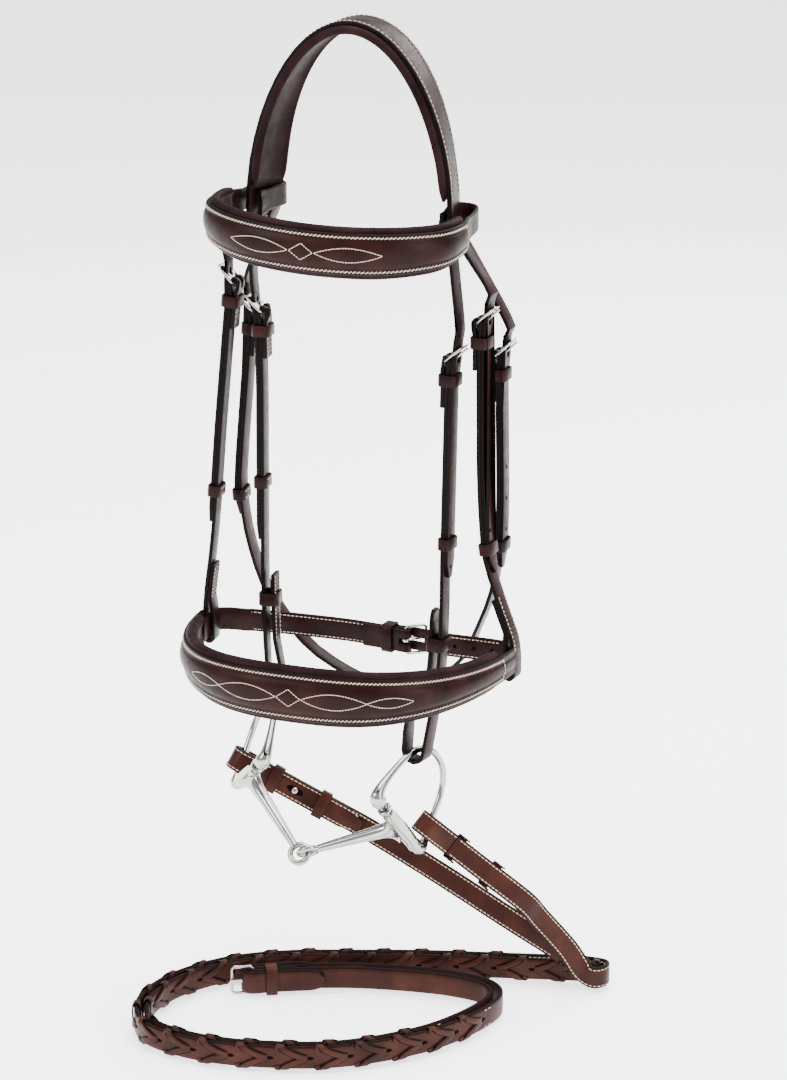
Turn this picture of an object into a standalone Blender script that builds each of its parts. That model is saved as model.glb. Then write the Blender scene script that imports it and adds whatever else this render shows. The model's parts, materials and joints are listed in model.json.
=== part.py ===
"""Snaffle bridle with a padded noseband, a D-cheek jointed snaffle and laced reins.

Metres, +Z up. The origin is the underside of the crown, the place that rests on
the horse's poll. +X is the right side as seen from the front and -Y is the front.
Points in the tables below are in millimetres.
"""

import bmesh
import bpy
import numpy as np

MM = 0.001
GAP = 0.3                        # clearance between touching pieces

STRAP_W, STRAP_T = 12.0, 2.6     # cheekpieces, hangers, throatlatch
BILLET_T = 2.5
REIN_W, REIN_T = 16.0, 3.2
FOLD_R = 2.9                     # centre line of a strap folded round a bar
MAIN_OFF = 1.45                  # a fold's two layers, either side of the middle line
BILLET_OFF = 4.4                 # a billet lying on a folded strap
BAR_R = 1.2                      # buckle wire
FRAME_L = 15.0                   # buckle bar to far bar
FRAME_TILT = np.radians(46)      # buckles stand off the strap, pulled out by the billet
REAR_TILT = np.radians(42)       # the noseband's own buckle
KEEPER_WALL = 1.4
REAR_W = 16.0                    # rear strap of the noseband

HAVANA = (0.045, 0.017, 0.014, 1)
BLACK_HAVANA = (0.016, 0.008, 0.009, 1)
REIN_BROWN = (0.10, 0.032, 0.018, 1)
STEEL = (0.75, 0.74, 0.71, 1)

# Each pair: middle line of the left and right strap, then the heights of its runner
# keeper and of the tip of the billet that lies on it.
CHEEK = {
    "left": ([(-64, -9, -192), (-63.5, -9, -250), (-64, -9, -315), (-64.5, -9, -370), (-64, -9, -420),
              (-62.5, -9.5, -450)], -315, -354),
    "right": ([(68.5, -10, -214), (67, -10, -265), (65.5, -10, -344), (65, -10, -390), (63.5, -11, -430),
               (59.5, -14, -462)], -344, -373),
}
HANGER = {
    "left": ([(-88.5, 0, -176), (-93, 0, -220), (-99, 0, -280), (-103, 0, -327), (-107, 0, -365),
              (-111.5, 0, -397), (-113.6, 0, -420)], -327, -356),
    "right": ([(87, 0, -189), (87, 0, -240), (88, 0, -300), (91.5, 0, -347), (98, 0, -370),
               (106, 0, -392), (112, 0, -408), (113.6, 0, -420)], -347, -369),
}
THROAT = [(-87, 30, -202), (-91, 30, -250), (-96, 30, -305), (-97, 30, -335), (-94, 38, -375),
          (-84, 52, -418), (-55, 69, -462), (0, 79, -485), (48, 66, -455), (72, 46, -415),
          (86, 34, -382), (90.5, 30, -350), (91, 30, -310), (90, 30, -265), (89.5, 30, -218)]
THROAT_MARKS = {"left": (-335, -359), "right": (-350, -373)}

CROWN_HALF, CROWN_DROP = 68.0, 126.0    # arch of the headpiece: half width, height
CROWN_T, PAD_T = 3.2, 4.2
CROWN_W_TOP, CROWN_W_END = 30.0, 37.5
CROWN_TILT = 0.2                        # rear edges of its legs lean in
SPLIT = (-12.6, 0.0, 12.6)              # centres of the three billets across the leg

BROW = [(64.5, -14, -120), (61.5, 6, -119), (60, 18, -119), (63.5, 24, -119), (71, 24.5, -119),
        (77, 20, -119), (79.5, 10, -120), (81, -8, -121), (86, -35, -122), (79, -64, -124),
        (47, -89, -126), (0, -97, -127)]
BROW_TILT = 3.5 / 80                    # the right end hangs a little lower
NOSE_A, NOSE_B = 115.0, 125.0           # half width and depth of the noseband's front
NOSE_Z = -421.0
REAR = {
    "left": [(-110.6, -17, -424), (-111.3, -6, -424), (-111.5, 8, -424), (-106, 15, -424.5), (-90, 18, -425),
             (-55, 22, -425.5), (-15, 24.2, -426), (27, 20, -426)],
    "right": [(110.6, -17, -424), (111.3, -6, -424), (111.5, 8, -424), (106, 15, -424.5), (90, 18.2, -425),
              (60, 19.6, -425.5)],
}

# Bit: bar ends (front, rear) of each D cheek and the direction of its depth.
BIT = {
    "left": {"front": (-49, -55, -499), "rear": (-92, -11, -541), "depth": (-0.03, 0.68, 0.735)},
    "right": {"front": (35.2, -61.3, -512), "rear": (52.8, -14.7, -570), "depth": (0.264, 0.699, 0.663)},
}
RING_R = 2.4
LOOP_R = 7.6                            # open loop of a cheekpiece round its ring
D_SHAPE = [(-30, 0), (-36, 1.5), (-38, 9), (-36, 24), (-32, 38), (-25, 49), (-13, 55.5), (1, 56), (12, 51),
           (20, 41), (24.5, 29), (27.5, 17), (31.5, 8.5), (33, 3), (30, 0)]
LINK = (-18, -60, -561)                 # where the two halves of the mouthpiece meet
EYE_R, EYE_WIRE = 6.5, 2.1
SLEEVE = (-24, 26)                      # stretch of the bar inside the arm's sleeve
SLEEVE_R, SLEEVE_BORE = 4.8, 2.95

REIN_Z = -672.0
COIL = [(159, 59, REIN_Z), (138, 54, REIN_Z), (92, 41, REIN_Z), (43, 27, REIN_Z), (-4, 10, REIN_Z),
        (-50, -8, REIN_Z), (-87, -33, REIN_Z), (-112, -70, REIN_Z), (-118, -110, REIN_Z),
        (-101, -143, REIN_Z), (-60, -155, REIN_Z), (-14, -150, REIN_Z), (36, -131, REIN_Z),
        (78, -94, REIN_Z), (101, -55, REIN_Z), (109, -21, REIN_Z), (97, -4, REIN_Z), (68, 0, REIN_Z),
        (34, -4, REIN_Z), (0, -12, REIN_Z), (-34, -25, REIN_Z)]
REIN_SIDE = 3.6                         # each rein's distance from the middle of the pair
REIN_BAR = (-65, -43, REIN_Z)           # bar of the buckle that joins the reins
REIN_BUCKLE_DIR = np.array([-0.885, -0.466, 0.0])
REIN_DROP = {
    "left": [(52, 24, -600), (100, 36, -632), (135, 45, -655), (151, 50, -668)],
    "right": [(126, 24, -622), (143, 36, -648), (153, 41.5, -666)],
}
REIN_AIM = {"left": (10, 13, -573), "right": (102, 9, -593)}
REIN_LEAN = {"left": (0.48, 0.1, 0.87), "right": (0.6, 0.25, 0.76)}
REIN_FACE = {"left": -1, "right": 1}    # the left rein's turned-back end is in front, the right one's behind
BILLET_END = {"left": 96, "right": 82}  # how far the turned-back ends reach from the ring
REIN_TURN = (157, 52)                   # middle of the hairpin where the reins reach the ground
D_REIN = (27.5, 17)                     # place on the D where the rein goes round it


# ---------------------------------------------------------------- shape tools

def unit(v):
    return v / np.linalg.norm(v)


def array(points):
    return np.array(points, float)


def resample(points, spacing):
    """The same line with evenly spaced points, its two ends kept."""
    steps = np.linalg.norm(np.diff(points, axis=0), axis=1)
    along = np.concatenate([[0], np.cumsum(steps)])
    count = max(int(round(along[-1] / spacing)), 2) + 1
    even = np.linspace(0, along[-1], count)
    return np.stack([np.interp(even, along, points[:, k]) for k in range(3)], axis=1)


def smooth(points, spacing):
    """A smooth curve (Catmull-Rom) through the points."""
    p = array(points)
    p = np.vstack([2 * p[0] - p[1], p, 2 * p[-1] - p[-2]])
    t = np.linspace(0, 1, 12, endpoint=False)[:, None]
    pieces = []
    for a, b, c, d in zip(p[:-3], p[1:-2], p[2:-1], p[3:]):
        pieces.append(0.5 * (2 * b + (c - a) * t + (2 * a - 5 * b + 4 * c - d) * t**2
                             + (3 * b - a - 3 * c + d) * t**3))
    return resample(np.vstack(pieces + [p[-2:-1]]), spacing)


def tangents(path, closed=False):
    if closed:
        t = np.roll(path, -1, axis=0) - np.roll(path, 1, axis=0)
    else:
        t = np.gradient(path, axis=0)
    return t / np.linalg.norm(t, axis=1)[:, None]


def frames(path, across, closed=False):
    """Tangent, across and face directions at each point of a path."""
    t = tangents(path, closed)
    a = np.broadcast_to(array(across), path.shape)
    a = a - (a * t).sum(1)[:, None] * t
    a = a / np.linalg.norm(a, axis=1)[:, None]
    return t, a, np.cross(a, t)


def rectangle(w, t):
    return [(-w / 2, -t / 2), (w / 2, -t / 2), (w / 2, t / 2), (-w / 2, t / 2)]


def cushion(w, t):
    """Flat underneath, rounded at both edges."""
    return [(-w / 2, -0.1 * t), (-0.4 * w, -t / 2), (0.4 * w, -t / 2), (w / 2, -0.1 * t),
            (w / 2, 0.2 * t), (0.42 * w, t / 2), (-0.42 * w, t / 2), (-w / 2, 0.2 * t)]


def circle(r, sides=8):
    turn = 2 * np.pi * (np.arange(sides) + 0.5) / sides
    return list(zip(r * np.cos(turn), r * np.sin(turn)))


def material(name, colour, roughness, metallic):
    found = bpy.data.materials.get(name)
    if found:
        return found
    made = bpy.data.materials.new(name)
    made.use_nodes = True
    shader = made.node_tree.nodes["Principled BSDF"]
    shader.inputs["Base Color"].default_value = colour
    shader.inputs["Roughness"].default_value = roughness
    shader.inputs["Metallic"].default_value = metallic
    return made


def leather(kind="havana"):
    colour = {"havana": HAVANA, "padding": BLACK_HAVANA, "rein": REIN_BROWN}[kind]
    return material("leather_" + kind, colour, 0.45, 0.0)


def steel():
    return material("stainless_steel", STEEL, 0.16, 1.0)


def add_object(name, bm, look, round_shape=False):
    """Puts a bmesh, still in millimetres, in the scene as one object."""
    bmesh.ops.scale(bm, vec=(MM, MM, MM), verts=bm.verts)
    bmesh.ops.recalc_face_normals(bm, faces=bm.faces)
    mesh = bpy.data.meshes.new(name)
    bm.to_mesh(mesh)
    bm.free()
    mesh.materials.append(look)
    if round_shape:
        mesh.shade_smooth()
        mesh.set_sharp_from_angle(angle=np.radians(40))
    obj = bpy.data.objects.new(name, mesh)
    bpy.context.scene.collection.objects.link(obj)
    return obj


def ring_of(bm, centre, across, face, outline):
    return [bm.verts.new(centre + u * across + v * face) for u, v in outline]


def bridge(bm, one, two):
    for i in range(len(one)):
        j = (i + 1) % len(one)
        bm.faces.new((one[i], one[j], two[j], two[i]))


def sweep(name, path, across, outline, look, closed=False, round_shape=False):
    """A solid of one cross-section carried along a path. outline(i) gives it at point i."""
    _, a, face = frames(path, across, closed)
    bm = bmesh.new()
    rings = [ring_of(bm, p, a[i], face[i], outline(i)) for i, p in enumerate(path)]
    for one, two in zip(rings, rings[1:]):
        bridge(bm, one, two)
    if closed:
        bridge(bm, rings[-1], rings[0])
    else:
        bm.faces.new(rings[0])
        bm.faces.new(rings[-1])
    return add_object(name, bm, look, round_shape)


def pointed(path, width, thickness, start=0.0, end=11.0):
    """Strap section that narrows to a rounded point over the last `end` or first `start`."""
    steps = np.linalg.norm(np.diff(path, axis=0), axis=1)
    along = np.concatenate([[0], np.cumsum(steps)])

    def outline(i):
        w = width
        for length, distance in ((start, along[i]), (end, along[-1] - along[i])):
            if length and distance < length:
                w = min(w, width * (0.35 + 0.65 * np.sqrt(1 - (1 - distance / length) ** 2)))
        return rectangle(w, thickness)
    return outline


def strap(name, path, across, width=STRAP_W, thickness=STRAP_T, look=None, start=0.0, end=0.0):
    outline = pointed(path, width, thickness, start, end)
    return sweep(name, path, across, outline, look or leather())


def place(origin, up, out, points):
    """Points given as (up, out) round an origin."""
    return np.array([origin + u * up + o * out for u, o in points])


def fold_points():
    """A strap's turned-back end round a bar at (0, 0), from its tail to its main layer."""
    tail = [(-32, -1.45), (-20, -1.45), (-12, -1.5), (-7, -2.0), (-3, -2.75)]
    turn = [(FOLD_R * np.sin(a), -FOLD_R * np.cos(a)) for a in np.radians(range(0, 181, 30))]
    main = [(u, -o) for u, o in reversed(tail[2:])]
    return tail + turn + main


def cut_box(target, name, origin, axes, low, high):
    """Cuts a box out of an object, its corners given along three axes from an origin."""
    bm = bmesh.new()
    made = bmesh.ops.create_cube(bm, size=1.0)["verts"]
    low, high = array(low), array(high)
    for v in made:
        local = (low + high) / 2 + np.array(v.co) * (high - low)
        v.co = origin + local @ array(axes)
    cutter = add_object(name, bm, leather())
    cutter.hide_render = True
    cutter.display_type = "WIRE"
    cut = target.modifiers.new(name, "BOOLEAN")
    cut.operation = "DIFFERENCE"
    cut.solver = "EXACT"
    cut.object = cutter
    return cutter


def unite(target, other):
    """Adds another object to this one as part of the same body."""
    join = target.modifiers.new("joined_" + other.name, "BOOLEAN")
    join.operation = "UNION"
    join.solver = "EXACT"
    join.object = other
    other.hide_render = True
    other.display_type = "WIRE"


def set_origin(obj, point):
    """Moves an object's origin to a point, in millimetres, without moving its shape."""
    point = array(point) * MM
    for v in obj.data.vertices:
        v.co = np.array(v.co) - point
    obj.location = point


# ---------------------------------------------------------------- fittings

def keeper(name, centre, across, along, out, half_w, low, high, height, look=None, wall=KEEPER_WALL):
    """A leather loop round straps: inner half width, inner reach either side, and its height."""
    w0, w1 = half_w + wall / 2, half_w - 1.2
    lo, hi = low - wall / 2, high + wall / 2
    corners = [(w0, lo + 1.2), (w0, hi - 1.2), (w1, hi), (-w1, hi), (-w0, hi - 1.2), (-w0, lo + 1.2),
               (-w1, lo), (w1, lo)]
    path = np.array([centre + u * across + v * out for u, v in corners])
    return sweep(name, path, along, lambda i: rectangle(height, wall), look or leather(), closed=True)


def buckle_frame(name, bar, across, away, half_w, length=FRAME_L, radius=BAR_R):
    """A rectangular wire frame: its bar at `bar`, its far bar `length` along `away`."""
    c = 1.6
    corners = [(half_w - c, 0), (half_w, c), (half_w, length - c), (half_w - c, length),
               (c - half_w, length), (-half_w, length - c), (-half_w, c), (c - half_w, 0)]
    path = np.array([bar + u * across + v * away for u, v in corners])
    normal = np.cross(across, away)
    return sweep(name, path, normal, lambda i: circle(radius, 6), steel(), closed=True, round_shape=True)


def tongue(name, bar, across, away, front, length=FRAME_L, half=1.2):
    """A flat prong hooked round the bar. It lies on the front of the far bar."""
    hook = np.radians(range(90, 331, 30))
    outline = [(length + 1.8, 2.3), (length + 0.9, 3.1), (2.0, 2.9)]
    outline += [(2.7 * np.cos(a), 2.7 * np.sin(a)) for a in hook]
    outline += [(1.55 * np.cos(a), 1.55 * np.sin(a)) for a in reversed(hook)]
    outline += [(length + 0.9, 1.55)]
    bm = bmesh.new()
    sides = [[bm.verts.new(bar + g * away + m * front + s * half * across) for g, m in outline]
             for s in (-1, 1)]
    bridge(bm, sides[0], sides[1])
    bm.faces.new(sides[0])
    bm.faces.new(sides[1])
    obj = add_object(name, bm, steel(), True)
    set_origin(obj, bar)
    return obj


def buckle_set(prefix, side, bar, across, up, out, half_w):
    """Frame, tongue and fixed keeper at the top of a strap."""
    away = np.cos(FRAME_TILT) * up + np.sin(FRAME_TILT) * out
    front = np.cos(FRAME_TILT) * out - np.sin(FRAME_TILT) * up
    buckle_frame(f"{prefix}_buckle_{side}", bar, across, away, half_w + 1.9)
    tongue(f"{prefix}_tongue_{side}", bar, across, away, front)
    keeper(f"{prefix}_keeper_{side}", bar - 13 * up, across, up, out, half_w + 0.6, -3.4, 6.7, 8.0)


def slot_fold(strap_object, name, bar, across, up, out):
    """Opens the middle of a fold for the tongue."""
    cut_box(strap_object, name, bar, (across, up, out), (-2, -3.4, -7), (2, 8, 7))


# ---------------------------------------------------------------- straps

def side_line(points, side):
    """Middle line of a hanging strap with its across and outward directions."""
    line = smooth(points, 6.0)
    sign = 1 if side == "right" else -1
    t, a, face = frames(line, (sign * 0.08, 1, 0))
    if face[0][0] * sign < 0:
        face = -face
    return line, t, a, face


def at_height(line, z):
    return int(np.argmin(abs(line[:, 2] - z)))


def folded_top(line, t, face):
    """Turned-back end of a strap at the first point of its line."""
    return place(line[0], -t[0], face[0], fold_points())


def billet_on(line, face, t, tip):
    """A billet's path from just above the buckle down to its tip at height `tip`."""
    local = place(line[0], -t[0], face[0],
                  [(24, 7.4), (14, 6.6), (6, 6.1), (0, 5.9), (-5, 5.4), (-10, 4.8)])
    last = at_height(line, tip)
    first = 3
    return np.vstack([local, (line + BILLET_OFF * face)[first:last + 1:2]])


def side_strap(prefix, side, points, mark, bottom):
    """One folded strap with its buckle, keepers and the path of the billet on it."""
    line, t, a, face = side_line(points, side)
    main = (line + MAIN_OFF * face)[3::2]
    path = np.vstack([folded_top(line, t, face), main, bottom(line, face)])
    across = np.tile(a[0], (len(path), 1))
    if prefix == "cheekpiece":
        straight = np.clip((path[:, 2] - ring_top(side)[2] - 8) / 60, 0, 1)[:, None]
        across = across + 0.4 * (1 - straight) * (ring_tangent(side) - across)
    obj = strap(f"{prefix}_{side}", path, across)
    slot_fold(obj, f"cut_{prefix}_{side}", line[0], a[0], -t[0], face[0])
    fittings(prefix, side, line, t, a, face, mark)
    return obj


SHORT = {"cheekpiece": "cheek", "noseband_hanger": "hanger", "throatlatch": "throat"}


def fittings(prefix, side, line, t, a, face, mark):
    short = SHORT[prefix]
    buckle_set(short, side, line[0], a[0], -t[0], face[0], STRAP_W / 2)
    k = at_height(line, mark)
    obj = keeper(f"{short}_runner_{side}", line[k], a[k], t[k], face[k], STRAP_W / 2 + 0.7, -0.5, 6.3, 8.0)
    set_origin(obj, line[k])


def cheek_bottom(side):
    """The cheekpiece goes round the D and turns up inside, where it hooks on its stud."""
    def points(line, face):
        ring = ring_top(side)
        sign = 1 if side == "right" else -1
        down = array((0, 0, -1))
        inward = -sign * unit(np.cross(down, ring_tangent(side) + array((0, 1.5, 0))))
        r = LOOP_R
        turn = [ring - r * np.cos(q) * inward + r * np.sin(q) * down for q in np.radians(range(0, 181, 30))]
        up = [ring + (r - 1) * inward - 14 * down, ring + 5.0 * inward - 27 * down]
        rise = (line - 5.6 * face)[::-1]
        tail = rise[(rise[:, 2] > ring[2] + 38) & (rise[:, 2] < tail_top(side))][::2]
        return np.vstack([turn, up, tail])
    return points


def tail_top(side):
    return -367 if side == "left" else -389


def hanger_bottom(side):
    """The hanger goes under the end of the rear strap and back up inside it."""
    def points(line, face):
        sign = 1 if side == "right" else -1
        middle = array((sign * 111.8, 0, -432.6))
        inward, down = array((-sign, 0, 0)), array((0, 0, -1))
        turn = [middle - 3.3 * np.cos(q) * inward + 3.3 * np.sin(q) * down
                for q in np.radians(range(0, 181, 30))]
        up = [middle + 3.3 * inward - 16 * down]
        rise = (line - MAIN_OFF * face)[::-1]
        tail = rise[(rise[:, 2] > -404) & (rise[:, 2] < -378)][::2]
        return np.vstack([turn, up, tail])
    return points


def throatlatch():
    line = smooth(THROAT, 7.0)
    t, a, face = frames(line, (0, 1, 0))
    if face[0][0] > 0:
        face = -face
    left = place(line[0], -t[0], face[0], fold_points())
    right = place(line[-1], t[-1], face[-1], fold_points())[::-1]
    path = np.vstack([left, (line + MAIN_OFF * face)[3:-3:2], right])
    obj = strap("throatlatch", path, (0, 1, 0))
    ends = {"left": (0, 1), "right": (-1, -1)}
    for side, (k, sign) in ends.items():
        half = slice(None, len(line) // 2) if side == "left" else slice(None, len(line) // 2, -1)
        down = sign * t[half]
        slot_fold(obj, f"cut_throat_{side}", line[k], a[k], -down[0], face[k])
        fittings("throatlatch", side, line[half], down, a[half], face[half], THROAT_MARKS[side][0])


# ---------------------------------------------------------------- headpiece

def arch(half, drop, lift, count=26):
    """Points of the crown's arch from left to right. The short flat at its top is at height `lift`."""
    q = np.radians(np.linspace(-90, 90, count))
    x = half * np.sin(q)
    z = lift - drop * (np.cos(q).max() - np.cos(q))
    return np.stack([x, np.zeros(count), z], axis=1)


def arch_across(path, drop):
    """The legs' rear edges lean towards the middle."""
    depth = (path[:, 2].max() - path[:, 2]) / drop
    lean = -np.sign(path[:, 0]) * CROWN_TILT * np.clip(depth * 1.4, 0, 1)
    return np.stack([lean, np.ones(len(path)), np.zeros(len(path))], axis=1)


def billet_paths():
    """Paths of the six billets below the split, with their order across the leg."""
    paths = {}
    throat_line = smooth(THROAT, 6.0)
    for side, sign in (("left", -1), ("right", 1)):
        for k, (prefix, table) in enumerate((("cheek", CHEEK), ("hanger", HANGER))):
            line, t, a, face = side_line(table[side][0], side)
            paths[prefix, side] = (k, billet_on(line, face, t, table[side][2]), line[0], a[0], -t[0], face[0])
        half = throat_line if side == "left" else throat_line[::-1]
        t, a, face = frames(half, (sign * 0.02, 1, 0))
        if face[0][0] * sign < 0:
            face = -face
        low = len(half) // 2
        paths["throat", side] = (2, billet_on(half[:low], face[:low], t[:low], THROAT_MARKS[side][1]),
                                 half[0], a[0], -t[0], face[0])
    return paths


def headpiece():
    """The crown and its six billets as one piece of leather."""
    lift = PAD_T + GAP + CROWN_T / 2
    path = arch(CROWN_HALF, CROWN_DROP, lift)
    _, a, face = frames(path, arch_across(path, CROWN_DROP))
    edges = [-SPLIT[2] - 6.0, -SPLIT[2] + 6.0, -6.0, 6.0, SPLIT[2] - 6.0, SPLIT[2] + 6.0]
    depth = (path[:, 2].max() - path[:, 2]) / CROWN_DROP
    widths = CROWN_W_TOP + (CROWN_W_END - CROWN_W_TOP) * depth**2
    bm = bmesh.new()
    rings = []
    for i, p in enumerate(path):
        u = np.array(edges) * widths[i] / (2 * edges[-1])
        top = [(x, CROWN_T / 2) for x in u]
        low = [(x, -CROWN_T / 2) for x in u[::-1]]
        rings.append(ring_of(bm, p, a[i], face[i], top + low))
    for one, two in zip(rings, rings[1:]):
        bridge(bm, one, two)
    cutters = []
    for (prefix, side), (k, lower, bar, across, up, out) in billet_paths().items():
        end = rings[0] if side == "left" else rings[-1]
        quad = [end[2 * k], end[2 * k + 1], end[10 - 2 * k], end[11 - 2 * k]]
        billet(bm, quad, a[0] if side == "left" else a[-1], lower, across)
        cutters.append((f"cut_billet_{prefix}_{side}", bar, (across, up, out)))
    for end in (rings[0], rings[-1]):
        for k in (1, 3):
            bm.faces.new((end[k], end[k + 1], end[10 - k], end[11 - k]))
    obj = add_object("headpiece", bm, leather())
    for name, bar, axes in cutters:
        cut_box(obj, name, bar, axes, (-1.9, -1.0, 3.2), (1.9, 9.8, 9.2))


def billet(bm, quad, first_across, lower, across):
    """Carries one billet from the crown's end down its path, and closes its tip."""
    corners = np.array([v.co for v in quad])
    start = corners.mean(axis=0)
    path = smooth(np.vstack([start, start + (0, 0, -8), lower[0], lower[1]]), 7.0)[:-1]
    path = np.vstack([path[path[:, 2] > lower[1][2] + 3], lower[1:]])
    blend = np.clip((start[2] - path[:, 2]) / 25.0, 0, 1)[:, None]
    t, a, face = frames(path, (1 - blend) * first_across + blend * across)
    steps = np.linalg.norm(np.diff(path, axis=0), axis=1)
    left = np.concatenate([np.cumsum(steps[::-1])[::-1], [0]])
    before = quad
    flip = np.dot(corners[0] - corners[3], face[1]) < 0
    for i in range(1, len(path)):
        w = STRAP_W - 0.6
        if left[i] < 11:
            w *= 0.35 + 0.65 * np.sqrt(1 - (1 - left[i] / 11) ** 2)
        s = -1 if flip else 1
        order = [(-w / 2, s), (w / 2, s), (w / 2, -s), (-w / 2, -s)]
        ring = [bm.verts.new(path[i] + u * a[i] + v * BILLET_T / 2 * face[i]) for u, v in order]
        bridge(bm, before, ring)
        before = ring
    bm.faces.new(before)


def crown_padding():
    outer = arch(CROWN_HALF, CROWN_DROP, PAD_T + GAP + CROWN_T / 2)
    across = arch_across(outer, CROWN_DROP)
    _, _, face = frames(outer, across)
    middle = face[len(face) // 2][2]
    path = outer - (CROWN_T / 2 + GAP + PAD_T / 2) * np.sign(middle) * face
    path[:, 2] -= path[:, 2].max() - PAD_T / 2 * abs(middle)    # its flat underside is at height 0
    keep = path[:, 2] > -97
    path, across = path[keep], across[keep]
    width = CROWN_W_TOP + 5
    sweep("crown_padding", path, across, lambda i: cushion(width, PAD_T), leather("padding"))


# ---------------------------------------------------------------- bands

def mirrored(half):
    """A whole band from its right half, given from the end to the middle."""
    right = array(half)
    left = right[::-1][1:] * (-1, 1, 1)
    return np.vstack([right, left])


def browband():
    path = smooth(mirrored(BROW), 7.0)
    path[:, 2] -= BROW_TILT * path[:, 0]
    front = np.clip((-path[:, 1] - 5) / 85, 0, 1)
    heights = 15 + 12 * front**0.7
    thick = 2.4 + 1.2 * np.clip(front * 4, 0, 1)
    sweep("browband", path, (0, 0, 1), lambda i: rectangle(heights[i], thick[i]), leather())
    _, _, face = frames(path, (0, 0, 1))
    if face[len(face) // 2][1] < 0:
        face = -face
    keep = path[:, 1] < -22
    inner = (path + (1.8 + GAP + 3.0) * face)[keep]
    tall = heights[keep] + 5
    inner[:, 2] += 1.5
    sweep("browband_padding", inner, (0, 0, 1), lambda i: cushion(tall[i], 6.0), leather("padding"))


def noseband():
    q = np.radians(np.linspace(3.4, 176.6, 39))
    across = NOSE_A * np.sign(np.cos(q)) * abs(np.cos(q)) ** 0.75
    path = np.stack([across, -NOSE_B * np.sin(q), np.full(len(q), NOSE_Z)], axis=1)
    path = resample(path, 9.0)
    rise = -path[:, 1] / NOSE_B
    heights = 18 + 15 * rise**2
    sweep("noseband", path, (0, 0, 1), lambda i: rectangle(heights[i], 3.2), leather())
    _, _, face = frames(path, (0, 0, 1))
    if face[len(face) // 2][1] < 0:
        face = -face
    keep = path[:, 1] < -26
    inner = (path + (1.6 + GAP + 3.2) * face)[keep]
    tall = heights[keep] + 6
    sweep("noseband_padding", inner, (0, 0, 1), lambda i: cushion(tall[i], 6.4), leather("padding"))


def rear_straps():
    """The left strap carries the buckle and the right one is its billet."""
    bar = array(REAR["left"][-1])
    up = unit(array((1, -0.1, 0)))
    out = array((0.1, 1, 0)) / np.hypot(0.1, 1)
    across = array((0, 0, 1))
    line = smooth(REAR["left"], 6.0)
    keep = line[line[:, 0] < bar[0] - 36]
    fold = place(bar, up, out, fold_points())
    path = np.vstack([keep + (0, MAIN_OFF, 0) * (keep[:, :1] > -90), fold[::-1]])
    obj = strap("noseband_rear_left", path, across, REAR_W)
    cut_box(obj, "cut_noseband_rear", bar, (across, up, out), (-2, -3.4, -7), (2, 8, 7))
    away = np.cos(REAR_TILT) * up + np.sin(REAR_TILT) * out
    front = np.cos(REAR_TILT) * out - np.sin(REAR_TILT) * up
    buckle_frame("noseband_buckle", bar, across, away, REAR_W / 2 + 1.9)
    tongue("noseband_tongue", bar, across, away, front)
    keeper("noseband_keeper", bar - 13 * up, across, up, out, REAR_W / 2 + 0.6, -3.4, 6.9, 8.0)
    over = place(bar, up, out, [(20, 4.4), (12, 5.2), (6, 5.8), (0, 5.9), (-6, 5.3), (-12, 4.7), (-26, 4.5)])
    right = smooth(REAR["right"] + [tuple(over[0])], 6.0)
    path = np.vstack([right, over[1:]])
    billet_obj = strap("noseband_rear_right", path, across, REAR_W, BILLET_T, end=11.0)
    cut_box(billet_obj, "cut_noseband_billet", bar, (across, up, out), (-1.9, 0.0, 2.0), (1.9, 12.5, 9.0))


# ---------------------------------------------------------------- bit

def bit_frame(side):
    """Middle of the bar and the directions along it and across the D."""
    front, rear = array(BIT[side]["front"]), array(BIT[side]["rear"])
    along = unit(rear - front)
    depth = array(BIT[side]["depth"])
    depth = unit(depth - (depth @ along) * along)
    return (front + rear) / 2, along, depth


def d_path(side, spacing=6.0):
    middle, along, depth = bit_frame(side)
    points = np.array([middle + b * along + p * depth for b, p in D_SHAPE])
    curve = smooth(points, spacing)
    straight = np.array([middle + b * along for b in (20, 0, -22)])
    return np.vstack([curve, straight])


def ring_top(side):
    path = d_path(side, 1.0)
    return path[np.argmax(path[:, 2])]


def ring_tangent(side):
    """Direction of the D's wire at its highest point, front to back."""
    path = d_path(side, 1.0)
    k = np.argmax(path[:, 2])
    t = (path[k + 1] - path[k - 1]) * (1, 1, 0)
    return unit(t) * np.sign(t[1])


def bit_ring(side):
    _, along, depth = bit_frame(side)
    obj = sweep(f"bit_ring_{side}", d_path(side), np.cross(along, depth), lambda i: circle(RING_R), steel(),
                closed=True, round_shape=True)
    set_origin(obj, ring_top(side))


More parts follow.
